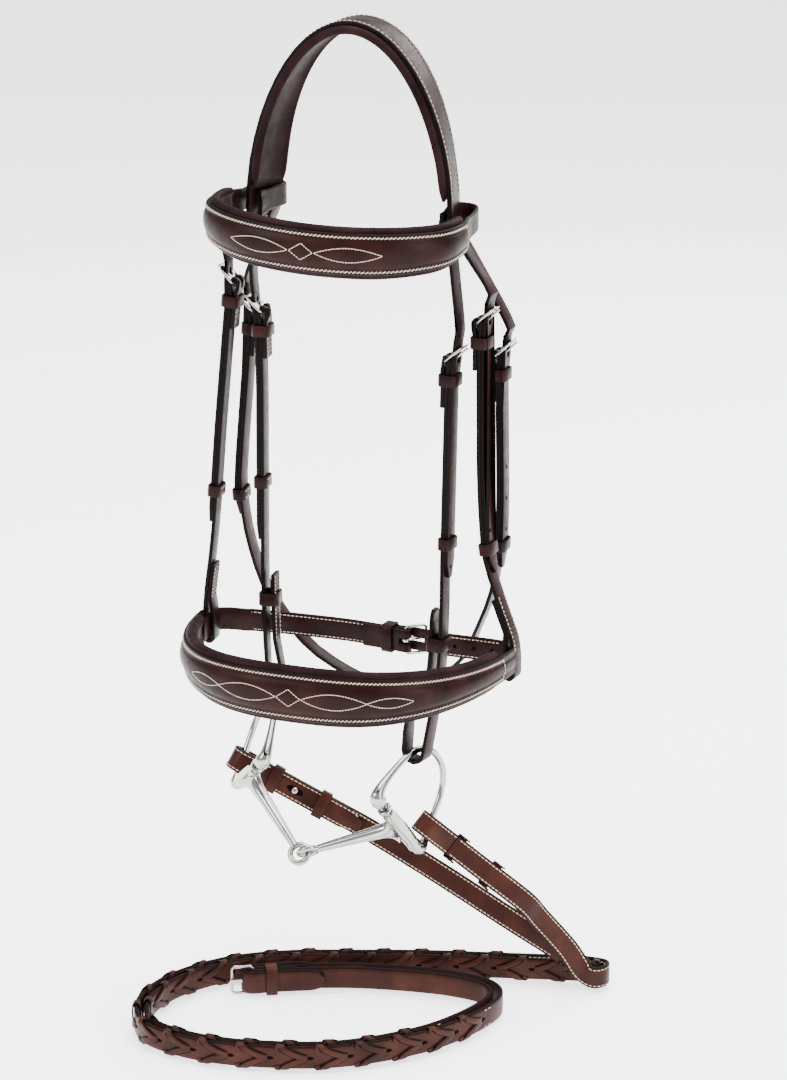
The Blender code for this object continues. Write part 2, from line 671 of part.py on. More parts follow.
def bit_arm(side, chain, eye_normal):
    """Half of the mouthpiece: a sleeve on the bar, a tapered arm and an eye."""
    middle, along, depth = bit_frame(side)
    sign = 1 if side == "left" else -1
    eye = array(LINK) + sign * 0.5 * EYE_R * chain
    reach = unit(eye - middle)
    sleeve_ends = [middle + SLEEVE[0] * along, middle + SLEEVE[1] * along]
    normal = unit(np.cross(along, reach))
    bm = bmesh.new()
    loops = []
    for centre, radius in ((sleeve_ends[0], SLEEVE_R), (sleeve_ends[1], SLEEVE_R),
                           (sleeve_ends[1], SLEEVE_BORE), (sleeve_ends[0], SLEEVE_BORE)):
        loops.append(ring_of(bm, centre, normal, np.cross(normal, along), circle(radius, 12)))
    for one, two in zip(loops, loops[1:] + loops[:1]):
        bridge(bm, one, two)
    obj = add_object(f"bit_arm_{side}", bm, steel(), True)
    start, stop = middle + 3.9 * reach, eye - (EYE_R + 0.4) * reach
    path = np.linspace(start, stop, 6)
    radii = np.array([5.4, 4.6, 4.0, 3.5, 2.9, 2.3])
    bar = sweep(f"part_arm_{side}", path, along, lambda i: circle(radii[i]), steel(), round_shape=True)
    side_dir = unit(np.cross(eye_normal, reach))
    turn = np.radians(np.arange(0, 360, 22.5))
    loop = np.array([eye - EYE_R * np.cos(q) * reach + EYE_R * np.sin(q) * side_dir for q in turn])
    eye_obj = sweep(f"part_eye_{side}", loop, eye_normal, lambda i: circle(EYE_WIRE), steel(), closed=True)
    unite(obj, bar)
    unite(obj, eye_obj)
    set_origin(obj, middle)


def bit():
    """The left eye lies in the plane of the two arms and the right one stands across it."""
    left_reach = unit(array(LINK) - bit_frame("left")[0])
    right_reach = unit(array(LINK) - bit_frame("right")[0])
    left_normal = unit(np.cross(left_reach, right_reach))
    right_normal = unit(np.cross(right_reach, left_normal))
    for side, normal in (("left", left_normal), ("right", right_normal)):
        bit_ring(side)
        bit_arm(side, right_reach, normal)


# ---------------------------------------------------------------- reins

def pair_route():
    """Middle line of the two reins on the ground, with the sideways direction out of the coil."""
    line = smooth(COIL, 8.0)
    t = tangents(line)
    return line, np.cross(t, array((0, 0, 1)))


def rein_route(side):
    """Route of one rein from the bit to the buckle, with its across directions."""
    line, outward = pair_route()
    offset = REIN_SIDE if side == "right" else -REIN_SIDE
    ground = line + offset * outward
    radius = 7.4 + offset
    cx, cy = REIN_TURN
    turn = [(cx + radius * np.sin(q), cy - radius * np.cos(q), -670.5 - 0.5 * k)
            for k, q in enumerate(np.radians((20, 60, 100, 140)))]
    ring, away, across, face = rein_axes(side)
    start = ring + 21.0 * away - 1.9 * face
    straight = [start, start + 30 * away, start + (BILLET_END[side] - 15) * away]
    drop = smooth(np.vstack([straight, REIN_DROP[side], turn, ground[1:2]]), 3.0)[:-1]
    path = np.vstack([drop, ground[1:]])
    upright = np.clip((path[:, 2] + 668) / 30.0, 0, 1)[:, None]
    return path, (1 - upright) * array((0, 0, 1)) + upright * across


def ring_at(side):
    """Where the rein goes round the D, and the direction of the wire there."""
    middle, along, depth = bit_frame(side)
    k = D_SHAPE.index(D_REIN)
    (b0, p0), (b1, p1) = D_SHAPE[k + 1], D_SHAPE[k - 1]
    return middle + D_REIN[0] * along + D_REIN[1] * depth, unit((b1 - b0) * along + (p1 - p0) * depth)


def rein_axes(side):
    """The place on the ring, then the directions along the rein, across it and to its turned-back end."""
    ring, wire = ring_at(side)
    away = unit(array(REIN_AIM[side]) - ring)
    across = 0.3 * unit(array(REIN_LEAN[side])) + 0.7 * wire * np.sign(wire[2])
    across = unit(across - (across @ away) * away)
    face = np.cross(across, away)
    return ring, away, across, face * np.sign(face[1]) * REIN_FACE[side]


def rein_billet(side):
    """The turned-back end that holds the rein on the ring, with its keepers and stud."""
    ring, away, across, face = rein_axes(side)
    r = 7.9                              # open enough for the ring to swing in it
    back = [(-20.5, -1.9), (-14, -2.6), (-6, -6.3)]
    turn = [(r * np.sin(q), -r * np.cos(q)) for q in np.radians(range(0, 181, 30))]
    front = [(-6, 6.3), (-14, 2.6), (-20, 1.9)] + [(-u, 1.8) for u in range(34, BILLET_END[side], 16)]
    front.append((-BILLET_END[side], 1.8))
    path = place(ring, -away, face, back + turn + front)
    look = leather("rein")
    obj = strap(f"rein_{side}_billet", path, across, REIN_W, REIN_T, look, end=13.0)
    cut_box(obj, f"cut_rein_{side}", ring, (across, away, face), (-2.0, 38, -0.2), (2.0, 47, 4.5))
    spots = (26, 64) if side == "left" else (26, 58)
    for name, spot in zip(("upper", "lower"), spots):
        keeper(f"rein_{side}_keeper_{name}", ring + spot * away, across, away, face, REIN_W / 2 + 0.6,
               -4.4, 4.4, 8.0, look)
    stud(f"rein_{side}_stud", ring + 42.5 * away, face)


def stud(name, centre, face):
    """A hook stud: a post through the billet's slot with a round head."""
    side = unit(np.cross(face, array((0.3, 0.2, 1))))
    other = np.cross(face, side)
    bm = bmesh.new()
    profile = [(1.3, 0.1), (1.3, 3.7), (2.5, 3.9), (2.5, 4.9), (1.4, 5.8)]
    loops = [ring_of(bm, centre + h * face, side, other, circle(r)) for r, h in profile]
    for one, two in zip(loops, loops[1:]):
        bridge(bm, one, two)
    bm.faces.new(loops[0])
    bm.faces.new(loops[-1])
    add_object(name, bm, steel(), True)


def reins():
    """Both reins, joined at the buckle. The left one carries it, the right one is threaded."""
    bar = array(REIN_BAR)
    away = unit(REIN_BUCKLE_DIR)
    across = array((0, 0, 1.0))
    rear = unit(np.cross(away, across))
    if rear[1] < 0:
        rear = -rear
    look = leather("rein")
    for side in ("left", "right"):
        path, a = rein_route(side)
        near = np.arange(len(path)) < len(path) - 25    # leave out the end that the fold takes over
        near |= (path - bar) @ away < -42
        path, a = path[near], a[near]
        if side == "left":
            fold = place(bar, away, -rear, fold_points())[::-1]
            end = fold
        else:
            turn = [(6.9 * np.sin(q), 6.9 * np.cos(q)) for q in np.radians(range(0, 181, 30))]
            end = place(bar, away, rear, [(-30, 8.2), (-14, 7.8), (-6, 7.2)] + turn
                        + [(-6, -6.4), (-12, -5.8), (-20, -5.6), (-34, -6.2), (-50, -7.4)])
        ups = np.vstack([a, np.tile(across, (len(end), 1))])
        path = np.vstack([path, end])
        obj = strap(f"rein_{side}", path, ups, REIN_W, REIN_T if side == "right" else STRAP_T, look,
                    end=12.0 if side == "right" else 0.0)
        low, high = ((-2, -3.4, -7), (2, 8, 7)) if side == "left" else ((-1.9, 2.0, -7.2), (1.9, 10, 3.5))
        cut_box(obj, f"cut_rein_end_{side}", bar, (across, away, rear), low, high)
    buckle_frame("rein_buckle", bar, across, away, REIN_W / 2 + 1.9)
    tongue("rein_tongue", bar, across, away, -rear)
    keeper("rein_keeper", bar - 13 * away, across, away, rear, REIN_W / 2 + 0.6, -8.0, 3.4, 8.0, look)
    for side in ("left", "right"):
        rein_billet(side)


def hook_keepers():
    """The loops that hold the turned-up ends of the cheekpieces."""
    for side, z in (("left", -398), ("right", -414)):
        line, t, a, face = side_line(CHEEK[side][0], side)
        k = at_height(line, z)
        keeper(f"cheek_hook_keeper_{side}", line[k], a[k], t[k], face[k], STRAP_W / 2 + 0.6, -7.5, 3.4, 9.0)


def main():
    for obj in list(bpy.data.objects):
        bpy.data.objects.remove(obj)
    headpiece()
    crown_padding()
    browband()
    noseband()
    rear_straps()
    for side in ("left", "right"):
        side_strap("cheekpiece", side, CHEEK[side][0], CHEEK[side][1], cheek_bottom(side))
        side_strap("noseband_hanger", side, HANGER[side][0], HANGER[side][1], hanger_bottom(side))
    throatlatch()
    hook_keepers()
    bit()
    reins()


main()
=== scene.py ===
"""Looks of the snaffle bridle: havana leather, cream stitching, laced reins, polished steel.

Places and sizes in the tables are in millimetres. +X is the right side as seen from
the front, -Y is the front, and the origin is where the crown rests on the poll.
"""

import json

import bmesh
import bpy
import numpy as np
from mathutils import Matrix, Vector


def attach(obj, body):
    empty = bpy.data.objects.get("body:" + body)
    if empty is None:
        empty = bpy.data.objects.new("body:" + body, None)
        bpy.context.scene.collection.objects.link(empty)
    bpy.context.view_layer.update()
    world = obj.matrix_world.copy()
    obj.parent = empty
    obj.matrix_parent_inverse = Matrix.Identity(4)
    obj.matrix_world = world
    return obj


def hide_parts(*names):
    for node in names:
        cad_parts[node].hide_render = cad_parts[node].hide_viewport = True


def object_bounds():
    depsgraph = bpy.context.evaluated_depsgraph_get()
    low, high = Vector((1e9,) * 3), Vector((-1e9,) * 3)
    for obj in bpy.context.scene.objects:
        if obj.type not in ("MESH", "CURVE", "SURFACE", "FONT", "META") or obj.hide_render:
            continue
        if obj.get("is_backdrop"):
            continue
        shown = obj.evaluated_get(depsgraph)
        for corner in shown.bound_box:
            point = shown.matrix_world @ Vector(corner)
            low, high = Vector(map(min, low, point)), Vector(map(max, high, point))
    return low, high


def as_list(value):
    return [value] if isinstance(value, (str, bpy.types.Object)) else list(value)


MM = 0.001
CAMERA_AT = (0.7892, -2.0209, 0.338)
CAMERA_TURN, CAMERA_DOWN = np.radians(20.7), np.radians(17.6)
CAMERA_LENS, CAMERA_SENSOR = 73.69, 24.0
FLOOR_HALF, FLOOR_GAP, FLOOR_GLOW = 14.0, 0.0004, 1.9
WORLD_LIGHT = 0.9
LIGHT_TARGET = (0, 0, -0.35)
LIGHTS = (      # name, place (m), width and height (m), power (W)
    ("key", (-1.6, -1.9, 1.3), (1.3, 1.9), 75),
    ("fill", (2.1, -0.9, 0.5), (0.8, 1.8), 40),
    ("top", (0.2, 0.3, 1.9), (2.6, 2.6), 190),
    ("rear", (0.6, 2.0, 0.8), (1.5, 1.2), 35),
)

CORNER = np.radians(38)                 # sharper edges of the CAD shapes are rounded
WIRE_SWELL = 0.17                       # from a bent wire's flat sides out to its full thickness
CURVE_STEPS = 12
DISC_SIDES = 14
THREAD_LIFT = 0.12                      # a stitch's line above the leather it is sewn to

ROOT = "bridle"
SIDES = ("left", "right")
SIGN = {"left": -1, "right": 1}
STRAPS = ("cheek", "hanger", "throat")
STRAP_W, STRAP_T = 12.0, 2.6
STRAP_CROWN = 0.25                      # how far a strap's faces bulge
REAR_W = 16.0
MAIN_OFF = 1.45                         # a folded strap's two layers, either side of its middle
BILLET_OFF, BILLET_T = 4.4, 2.5
CROWN_HALF, CROWN_DROP = 68.0, 126.0
CROWN_T, PAD_T = 3.2, 4.2
CROWN_W_TOP, CROWN_W_END = 30.0, 37.5
CROWN_TILT = 0.2
GAP = 0.3
PAD_DEPTH = 5.1                         # a band's pad lies this far behind the band's middle
CROWN_PAD_END = -107.0                  # height where the crown's pad ends
CROWN_STEPS = 60

CHEEK = {
    "left": [(-64, -9, -192), (-63.5, -9, -250), (-64, -9, -315), (-64.5, -9, -370), (-64, -9, -420),
             (-62.5, -9.5, -450)],
    "right": [(68.5, -10, -214), (67, -10, -265), (65.5, -10, -344), (65, -10, -390), (63.5, -11, -430),
              (59.5, -14, -462)],
}
HANGER = {
    "left": [(-88.5, 0, -176), (-93, 0, -220), (-99, 0, -280), (-103, 0, -327), (-107, 0, -365),
             (-111.5, 0, -397), (-113.6, 0, -420)],
    "right": [(87, 0, -189), (87, 0, -240), (88, 0, -300), (91.5, 0, -347), (98, 0, -370),
              (106, 0, -392), (112, 0, -408), (113.6, 0, -420)],
}
THROAT = [(-87, 30, -202), (-91, 30, -250), (-96, 30, -305), (-97, 30, -335), (-94, 38, -375),
          (-84, 52, -418), (-55, 69, -462), (0, 79, -485), (48, 66, -455), (72, 46, -415),
          (86, 34, -382), (90.5, 30, -350), (91, 30, -310), (90, 30, -265), (89.5, 30, -218)]
TIPS = {"cheek": {"left": -354, "right": -373}, "hanger": {"left": -356, "right": -369},
        "throat": {"left": -359, "right": -373}}
TAIL_TOP = {"left": -367, "right": -389}        # tips of the cheekpieces' turned-up ends
TAIL_FOOT = -436                        # height where those ends' stitching starts
TAIL_OFF = 5.6
TAIL_ROUND, TAIL_CUTS = 9.0, (9.0, 5.5, 3.0, 1.4, 0.4)
# punched holes, drawn as discs of painted shade: first place along a billet, spacing and radius, then the
# right rear strap's places and radius
HOLE_FIRST, HOLE_PITCH, HOLE_R = 34.0, 22.0, 1.35
REAR_HOLES, REAR_HOLE_R = (64.0, 78.0, 92.0), 1.5
REAR_BUCKLE_X, REAR_SEWN = 27, 100              # the rear buckle's place, and how far out the rows reach

BROW = [(64.5, -14, -120), (61.5, 6, -119), (60, 18, -119), (63.5, 24, -119), (71, 24.5, -119),
        (77, 20, -119), (79.5, 10, -120), (81, -8, -121), (86, -35, -122), (79, -64, -124),
        (47, -89, -126), (0, -97, -127)]
BROW_TILT = 3.5 / 80
BROW_BULGE, NOSE_BULGE = (2.2, 4.6), (3.0, 5.2)  # rise of a band's padded middle, and its flat margins
NOSE_T = 3.2
NOSE_A, NOSE_B, NOSE_Z = 115.0, 125.0, -421.0
REAR = {
    "left": [(-110.6, -17, -424), (-111.3, -6, -424), (-111.5, 8, -424), (-106, 15, -424.5), (-90, 18, -425),
             (-55, 22, -425.5), (-15, 24.2, -426), (27, 20, -426)],
    "right": [(110.6, -17, -424), (111.3, -6, -424), (111.5, 8, -424), (106, 15, -424.5), (90, 18.2, -425),
              (60, 19.6, -425.5), (47, 22, -426)],
}

BIT = {
    "left": {"front": (-49, -55, -499), "rear": (-92, -11, -541), "depth": (-0.03, 0.68, 0.735)},
    "right": {"front": (35.2, -61.3, -512), "rear": (52.8, -14.7, -570), "depth": (0.264, 0.699, 0.663)},
}
RING_R = 2.4
BUTTS = ((-33.5, 1.0), (31.5, 2.0))     # the wire's thick ends, front then rear, as in D_SHAPE
BAR_HALF = 28
# Added to the wire's radius, and over what length: at both butts, then in front on the curve and the bar.
BUTT, CLUB_CURVE, CLUB_BAR = (1.7, 5.2), (1.5, 15.0), (1.3, 6.0)
D_SHAPE = [(-30, 0), (-36, 1.5), (-38, 9), (-36, 24), (-32, 38), (-25, 49), (-13, 55.5), (1, 56), (12, 51),
           (20, 41), (24.5, 29), (27.5, 17), (31.5, 8.5), (33, 3), (30, 0)]
LINK = (-18, -60, -561)
EYE_R, EYE_WIRE = 6.5, 2.1
SLEEVE, SLEEVE_R, SLEEVE_BORE = (-24, 26), 4.8, 2.95
ARM_START, ARM_SHORT = 3.4, 3.6         # where the arm starts, from the bar, and stops, from the eye
ARM_TIP, ARM_TAPER, ARM_FLARE = 2.7, 2.5, 2.8   # its radius at the tip, and what is added towards the bar

REIN_W, REIN_T = 16.0, 3.2
REIN_INSET = 1.9                        # from a rein's edge to its stitches
REIN_SEWN = REIN_W / 2 - REIN_INSET
REIN_TOP = REIN_T / 2 + THREAD_LIFT
REIN_Z = -672.0
COIL = [(159, 59), (138, 54), (92, 41), (43, 27), (-4, 10), (-50, -8), (-87, -33), (-112, -70),
        (-118, -110), (-101, -143), (-60, -155), (-14, -150), (36, -131), (78, -94), (101, -55),
        (109, -21), (97, -4), (68, 0), (34, -4), (0, -12), (-34, -25)]
REIN_SIDE = 3.6
REIN_LOOP_R = 7.9
REIN_BAR = (-65, -43, REIN_Z)
REIN_BUCKLE_DIR = (-0.885, -0.466, 0.0)
REIN_DROP = {
    "left": [(52, 24, -600), (100, 36, -632), (135, 45, -655), (151, 50, -668)],
    "right": [(126, 24, -622), (143, 36, -648), (153, 41.5, -666)],
}
REIN_AIM = {"left": (10, 13, -573), "right": (102, 9, -593)}
REIN_LEAN = {"left": (0.48, 0.1, 0.87), "right": (0.6, 0.25, 0.76)}
BILLET_END = {"left": 96, "right": 82}
BILLET_RISE = 1.8                       # from the ring's middle to a turned-back end, along its face
REIN_START, REIN_BACK = 21.0, 1.9       # a rein's start along it from the ring, and against its face
REIN_TURN, REIN_TURN_R = (157, 52), 7.4
REIN_TURN_Z, REIN_TURN_DROP = -670.5, 0.5
REIN_UPRIGHT = (-668, 30.0)             # height where a rein starts to stand up, and over what height
FOLD_POINTS, FOLD_REACH = 25, 42        # end of the coil that the fold at the buckle takes over
KEEPER_OPEN = 3.3                       # the right rein's keepers are open in front of this depth
D_REIN = (27.5, 17)
LACE_PITCH, LACE_W, LACE_T = 27.0, 5.2, 1.3
LACE_END, SLOT = 21.0, (2.9, 1.3)       # a thong's slot, a disc of painted shade: its place from the thong's start, and its half sizes
# half sizes of the disc of painted shade for the stud's slot
STUD_SLOT = (6.5, 2.3)
LACED = {"left": (250.0, 850.0), "right": (250.0, 823.0)}      # laced stretch of each rein, from the bit


# ---- curves

def unit(v):
    v = np.asarray(v, float)
    return v / np.linalg.norm(v)


def units(rows):
    return rows / np.linalg.norm(rows, axis=1)[:, None]


def array(points):
    return np.array(points, float)


def along(path):
    """Distance along a path at each of its points."""
    return np.concatenate([[0], np.cumsum(np.linalg.norm(np.diff(path, axis=0), axis=1))])


def read(where, known, values):
    """Rows of values given at known places, read at other places."""
    return np.stack([np.interp(where, known, values[:, k]) for k in range(3)], axis=-1)


def at(distance, path, values):
    """Values given at a path's points, read at other distances along it."""
    return read(distance, along(path), values)


def resample(points, spacing):
    """The same path with points at an even spacing."""
    length = along(points)[-1]
    even = np.linspace(0, length, max(int(round(length / spacing)), 2) + 1)
    return at(even, points, points)


def smooth(points, spacing):
    """A smooth curve (Catmull-Rom) through the points."""
    p = array(points)
    p = np.vstack([2 * p[0] - p[1], p, 2 * p[-1] - p[-2]])
    t = np.linspace(0, 1, CURVE_STEPS, endpoint=False)[:, None]
    pieces = []
    for a, b, c, d in zip(p[:-3], p[1:-2], p[2:-1], p[3:]):
        pieces.append(0.5 * (2 * b + (c - a) * t + (2 * a - 5 * b + 4 * c - d) * t**2
                             + (3 * b - a - 3 * c + d) * t**3))
    return resample(np.vstack(pieces + [p[-2:-1]]), spacing)


def frames(path, across, closed=False):
    """Tangent, across and face directions at each point of a path."""
    if closed:
        t = np.roll(path, -1, axis=0) - np.roll(path, 1, axis=0)
    else:
        t = np.gradient(path, axis=0)
    t = units(t)
    a = np.broadcast_to(array(across), path.shape)
    a = units(a - (a * t).sum(1)[:, None] * t)
    return t, a, np.cross(a, t)


def place(origin, up, out, points):
    """Points given as (along up, along out) from an origin."""
    return np.array([origin + u * up + o * out for u, o in points])


def circle(r, sides):
    turn = 2 * np.pi * np.arange(sides) / sides
    return np.stack([r * np.cos(turn), r * np.sin(turn)], axis=1)


# ---- meshes

def skin(rings, marks=None, closed=False):
    """A closed skin through rings of points: its points, its faces and each face's material."""
    rings = np.asarray(rings, float)
    n, k = rings.shape[:2]
    faces, index = [], []
    for i in range(n if closed else n - 1):
        j = (i + 1) % n
        for m in range(k):
            q = (m + 1) % k
            faces.append((i * k + m, i * k + q, j * k + q, j * k + m))
            index.append(marks[m] if marks else 0)
    if not closed:
        faces += [tuple(range(k)), tuple(range((n - 1) * k, n * k))]
        index += [marks[-1] if marks else 0] * 2
    return rings.reshape(-1, 3), faces, index


def carried(path, across, section, marks=None, closed=False):
    """The skin of a section carried along a path. section(i) gives it as (across, face) points."""
    _, a, face = frames(path, across, closed)
    rings = []
    for i, p in enumerate(path):
        s = np.asarray(section(i))
        rings.append(p + s[:, :1] * a[i] + s[:, 1:] * face[i])
    return skin(rings, marks, closed)


def add_object(name, data):
    obj = bpy.data.objects.new(name, data)
    bpy.context.scene.collection.objects.link(obj)
    return obj


def finish_piece(name, mesh, bm, looks, sharp, body, nodes):
    """Makes an object of a finished mesh and puts it on its body."""
    bmesh.ops.recalc_face_normals(bm, faces=bm.faces)
    bm.to_mesh(mesh)
    bm.free()
    for look in looks:
        mesh.materials.append(look)
    mesh.shade_smooth()
    mesh.set_sharp_from_angle(angle=np.radians(sharp))
    obj = add_object(name, mesh)
    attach(obj, body)
    if nodes:
        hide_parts(*nodes)
    return obj


def build(name, skins, looks, body=ROOT, nodes=(), sharp=50):
    """One piece made of several skins, in millimetres."""
    points, faces, index = [], [], []
    start = 0
    for p, f, m in skins:
        points.append(p)
        faces += [tuple(v + start for v in face) for face in f]
        index += list(m)
        start += len(p)
    mesh = bpy.data.meshes.new(name)
    mesh.from_pydata(np.vstack(points) * MM, [], faces)
    mesh.polygons.foreach_set("material_index", index)
    bm = bmesh.new()
    bm.from_mesh(mesh)
    return finish_piece(name, mesh, bm, looks, sharp, body, nodes)


def body_of(node):
    bodies = frame["record"]["behaviour"]["bodies"]
    return next(body for body, nodes in bodies.items() if node in nodes)


def welded(node):
    """A CAD node's mesh with its split corners joined and its flat faces merged."""
    bm = bmesh.new()
    bm.from_mesh(frame["nodes"][node].data)
    bmesh.ops.remove_doubles(bm, verts=bm.verts, dist=2e-6)
    bmesh.ops.dissolve_limit(bm, angle_limit=np.radians(0.6), verts=bm.verts, edges=bm.edges)
    return bm


def round_corners(bm, rounding):
    edges = [e for e in bm.edges if len(e.link_faces) == 2 and e.calc_face_angle() > CORNER]
    bmesh.ops.bevel(bm, geom=edges, offset=rounding * MM, segments=2, profile=0.5, affect="EDGES",
                    clamp_overlap=True, material=-1)


def from_node(node, bm, looks, sharp):
    """The piece that stands for a CAD node, made from the node's own shape."""
    mesh = bpy.data.meshes.new(node)
    return finish_piece(node + "_finished", mesh, bm, looks, sharp, body_of(node), (node,))


def leather_node(node, edge_way, looks, rounding=0.5, cut=None):
    """A cut leather strap: its CAD shape with rounded corners and dark edges that face edge_way."""
    bm = welded(node)
    if cut:
        cut(bm)
    way = unit(edge_way)
    for face in bm.faces:
        face.material_index = int(abs(np.dot(face.normal, way)) > 0.72)
    round_corners(bm, rounding)
    return from_node(node, bm, looks, 48)


def wire_node(node, look):
    """Bent round wire: the CAD's flat-sided wire made round, at its full thickness."""
    bm = welded(node)
    bm.normal_update()
    for v in bm.verts:
        v.co += v.normal * WIRE_SWELL * MM
    obj = from_node(node, bm, [look], 180)
    level = obj.modifiers.new("round", "SUBSURF")
    level.levels = level.render_levels = 2
    return obj


def metal_node(node, look, rounding=0.25):
    """A metal fitting: its CAD shape with rounded corners."""
    bm = welded(node)
    round_corners(bm, rounding)
    return from_node(node, bm, [look], 60)


# One stitch from hole to hole: place along it, thickness and height, in its lengths and radii.
STITCH = ((-0.5, 0.4, -0.5), (-0.3, 1.0, 0.1), (0, 1.08, 0.25), (0.3, 1.0, 0.1), (0.5, 0.4, -0.5))
STITCH_SIDES = 6


def stitches(line, normals, pitch=3.2, length=2.5, radius=0.34, slant=0.0):
    """A row of stitches along a line that lies on a surface with these normals."""
    total = along(line)[-1]
    count = max(int(total / pitch), 1)
    where = (np.arange(count) + 0.5) * total / count
    p, n = at(where, line, line), units(at(where, line, normals))
    t = at(where, line, np.gradient(line, axis=0))
    t = units(t - (t * n).sum(1)[:, None] * n)
    side = np.cross(n, t)
    way = np.cos(slant) * t + np.sin(slant) * side
    other = np.cross(n, way)
    local = array([(x * length, r * radius * y, radius * (z + r * w))
                   for x, r, z in STITCH for y, w in circle(1.0, STITCH_SIDES)])
    points = (p[:, None] + local[None, :, :1] * way[:, None] + local[None, :, 1:2] * other[:, None]
              + local[None, :, 2:] * n[:, None])
    one = skin(local.reshape(len(STITCH), STITCH_SIDES, 3))[1]
    faces = [tuple(v + k * len(local) for v in face) for k in range(count) for face in one]
    return points.reshape(-1, 3), faces, [0] * len(faces)


# ---- materials

def new_material(name):
    made = bpy.data.materials.new(name)
    made.use_nodes = True
    tree = made.node_tree
    return made, tree, tree.nodes["Principled BSDF"]


def noise(tree, scale, detail=3.0, kind="ShaderNodeTexNoise"):
    coords = tree.nodes.new("ShaderNodeTexCoord")
    made = tree.nodes.new(kind)
    made.inputs["Scale"].default_value = scale
    if kind == "ShaderNodeTexNoise":
        made.inputs["Detail"].default_value = detail
    tree.links.new(coords.outputs["Object"], made.inputs["Vector"])
    return made


def ramp(tree, source, stops, socket):
    """Feeds a noise to a socket through a colour ramp."""
    made = tree.nodes.new("ShaderNodeValToRGB")
    made.color_ramp.elements[0].position, made.color_ramp.elements[0].color = stops[0]
    made.color_ramp.elements[1].position, made.color_ramp.elements[1].color = stops[-1]
    for position, colour in stops[1:-1]:
        made.color_ramp.elements.new(position).color = colour
    tree.links.new(source.outputs["Fac"], made.inputs["Fac"])
    tree.links.new(made.outputs["Color"], socket)


def grey(value):
    return (value, value, value, 1)


def bump(tree, shader, layers):
    """Stacks bumps: each layer is a height output, its strength and its depth in metres."""
    last = None
    for height, strength, depth in layers:
        node = tree.nodes.new("ShaderNodeBump")
        node.inputs["Strength"].default_value = strength
        node.inputs["Distance"].default_value = depth
        tree.links.new(height, node.inputs["Height"])
        if last:
            tree.links.new(last.outputs["Normal"], node.inputs["Normal"])
        last = node
    tree.links.new(last.outputs["Normal"], shader.inputs["Normal"])


def leather(name, deep, middle, worn, rough=(0.3, 0.46), shine=0.06, grain=0.35):
    """Waxed bridle leather: cloudy dye, fine pores, long shallow creases and a thin gloss."""
    made, tree, shader = new_material(name)
    dye = [(0.32, deep), (0.52, middle), (0.72, worn)]
    ramp(tree, noise(tree, 38.0, 5.0), dye, shader.inputs["Base Color"])
    smudge = [(0.3, grey(rough[0])), (0.7, grey(rough[1]))]
    ramp(tree, noise(tree, 140.0, 4.0), smudge, shader.inputs["Roughness"])
    pores = noise(tree, 1500.0, kind="ShaderNodeTexVoronoi")
    grainy = noise(tree, 620.0, 6.0)
    creases = noise(tree, 90.0, 2.0)
    bump(tree, shader, [(creases.outputs["Fac"], 0.35, 0.0006), (grainy.outputs["Fac"], grain, 0.00022),
                        (pores.outputs["Distance"], grain, 0.00012)])
    shader.inputs["Coat Weight"].default_value = shine / 3
    shader.inputs["Coat Roughness"].default_value = 0.2
    shader.inputs["Specular IOR Level"].default_value = shine
    return made


def matt(name, scale, detail, dark, light, roughness, relief=0.0, specular=0.5):
    """A matt stuff whose fine noise gives both its colour and its relief."""
    made, tree, shader = new_material(name)
    fine = noise(tree, scale, detail)
    ramp(tree, fine, [dark, light], shader.inputs["Base Color"])
    if relief:
        bump(tree, shader, [(fine.outputs["Fac"], relief, 0.0002)])
    shader.inputs["Roughness"].default_value = roughness
    shader.inputs["Specular IOR Level"].default_value = specular
    return made


def steel(name):
    """Polished stainless steel with faint handling marks."""
    made, tree, shader = new_material(name)
    marks = noise(tree, 260.0, 5.0)
    ramp(tree, marks, [(0.35, grey(0.09)), (0.75, grey(0.22))], shader.inputs["Roughness"])
    tint = [(0.3, (0.29, 0.288, 0.282, 1)), (0.7, (0.4, 0.396, 0.388, 1))]
    ramp(tree, noise(tree, 55.0), tint, shader.inputs["Base Color"])
    bump(tree, shader, [(marks.outputs["Fac"], 0.08, 0.0001)])
    shader.inputs["Metallic"].default_value = 1.0
    return made


# ---- camera, floor, light

def set_camera():
    data = bpy.data.cameras.new("camera")
    data.sensor_fit = "VERTICAL"
    data.sensor_height = CAMERA_SENSOR
    data.lens = CAMERA_LENS
    obj = add_object("camera", data)
    obj.location = CAMERA_AT
    obj.rotation_euler = (np.pi / 2 - CAMERA_DOWN, 0, CAMERA_TURN)
    bpy.context.scene.camera = obj


def set_floor(height):
    corners = [(x * FLOOR_HALF, y * FLOOR_HALF, height) for x, y in ((-1, -1), (1, -1), (1, 1), (-1, 1))]
    mesh = bpy.data.meshes.new("floor")
    mesh.from_pydata(corners, [], [(0, 1, 2, 3)])
    made, tree, shader = new_material("floor_paper")
    ramp(tree, noise(tree, 3.0), [(0.2, grey(0.94)), (0.8, grey(0.96))], shader.inputs["Base Color"])
    shader.inputs["Roughness"].default_value = 0.9
    shader.inputs["Emission Color"].default_value = grey(1)
    shader.inputs["Emission Strength"].default_value = FLOOR_GLOW
    mesh.materials.append(made)
    add_object("floor", mesh)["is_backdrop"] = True


def soft_light(name, place_at, size, power):
    data = bpy.data.lights.new(name, "AREA")
    data.shape = "RECTANGLE"
    data.size, data.size_y = size
    data.energy = power
    obj = add_object(name, data)
    obj.location = place_at
    way = unit(array(LIGHT_TARGET) - array(place_at))
    obj.rotation_euler = (np.arccos(-way[2]), 0, np.arctan2(-way[0], way[1]))


def set_light():
    world = bpy.data.worlds.new("studio")
    bpy.context.scene.world = world
    world.use_nodes = True
    background = world.node_tree.nodes["Background"]
    background.inputs["Color"].default_value = grey(1)
    background.inputs["Strength"].default_value = WORLD_LIGHT
    for light in LIGHTS:
        soft_light(*light)


# ---- reins

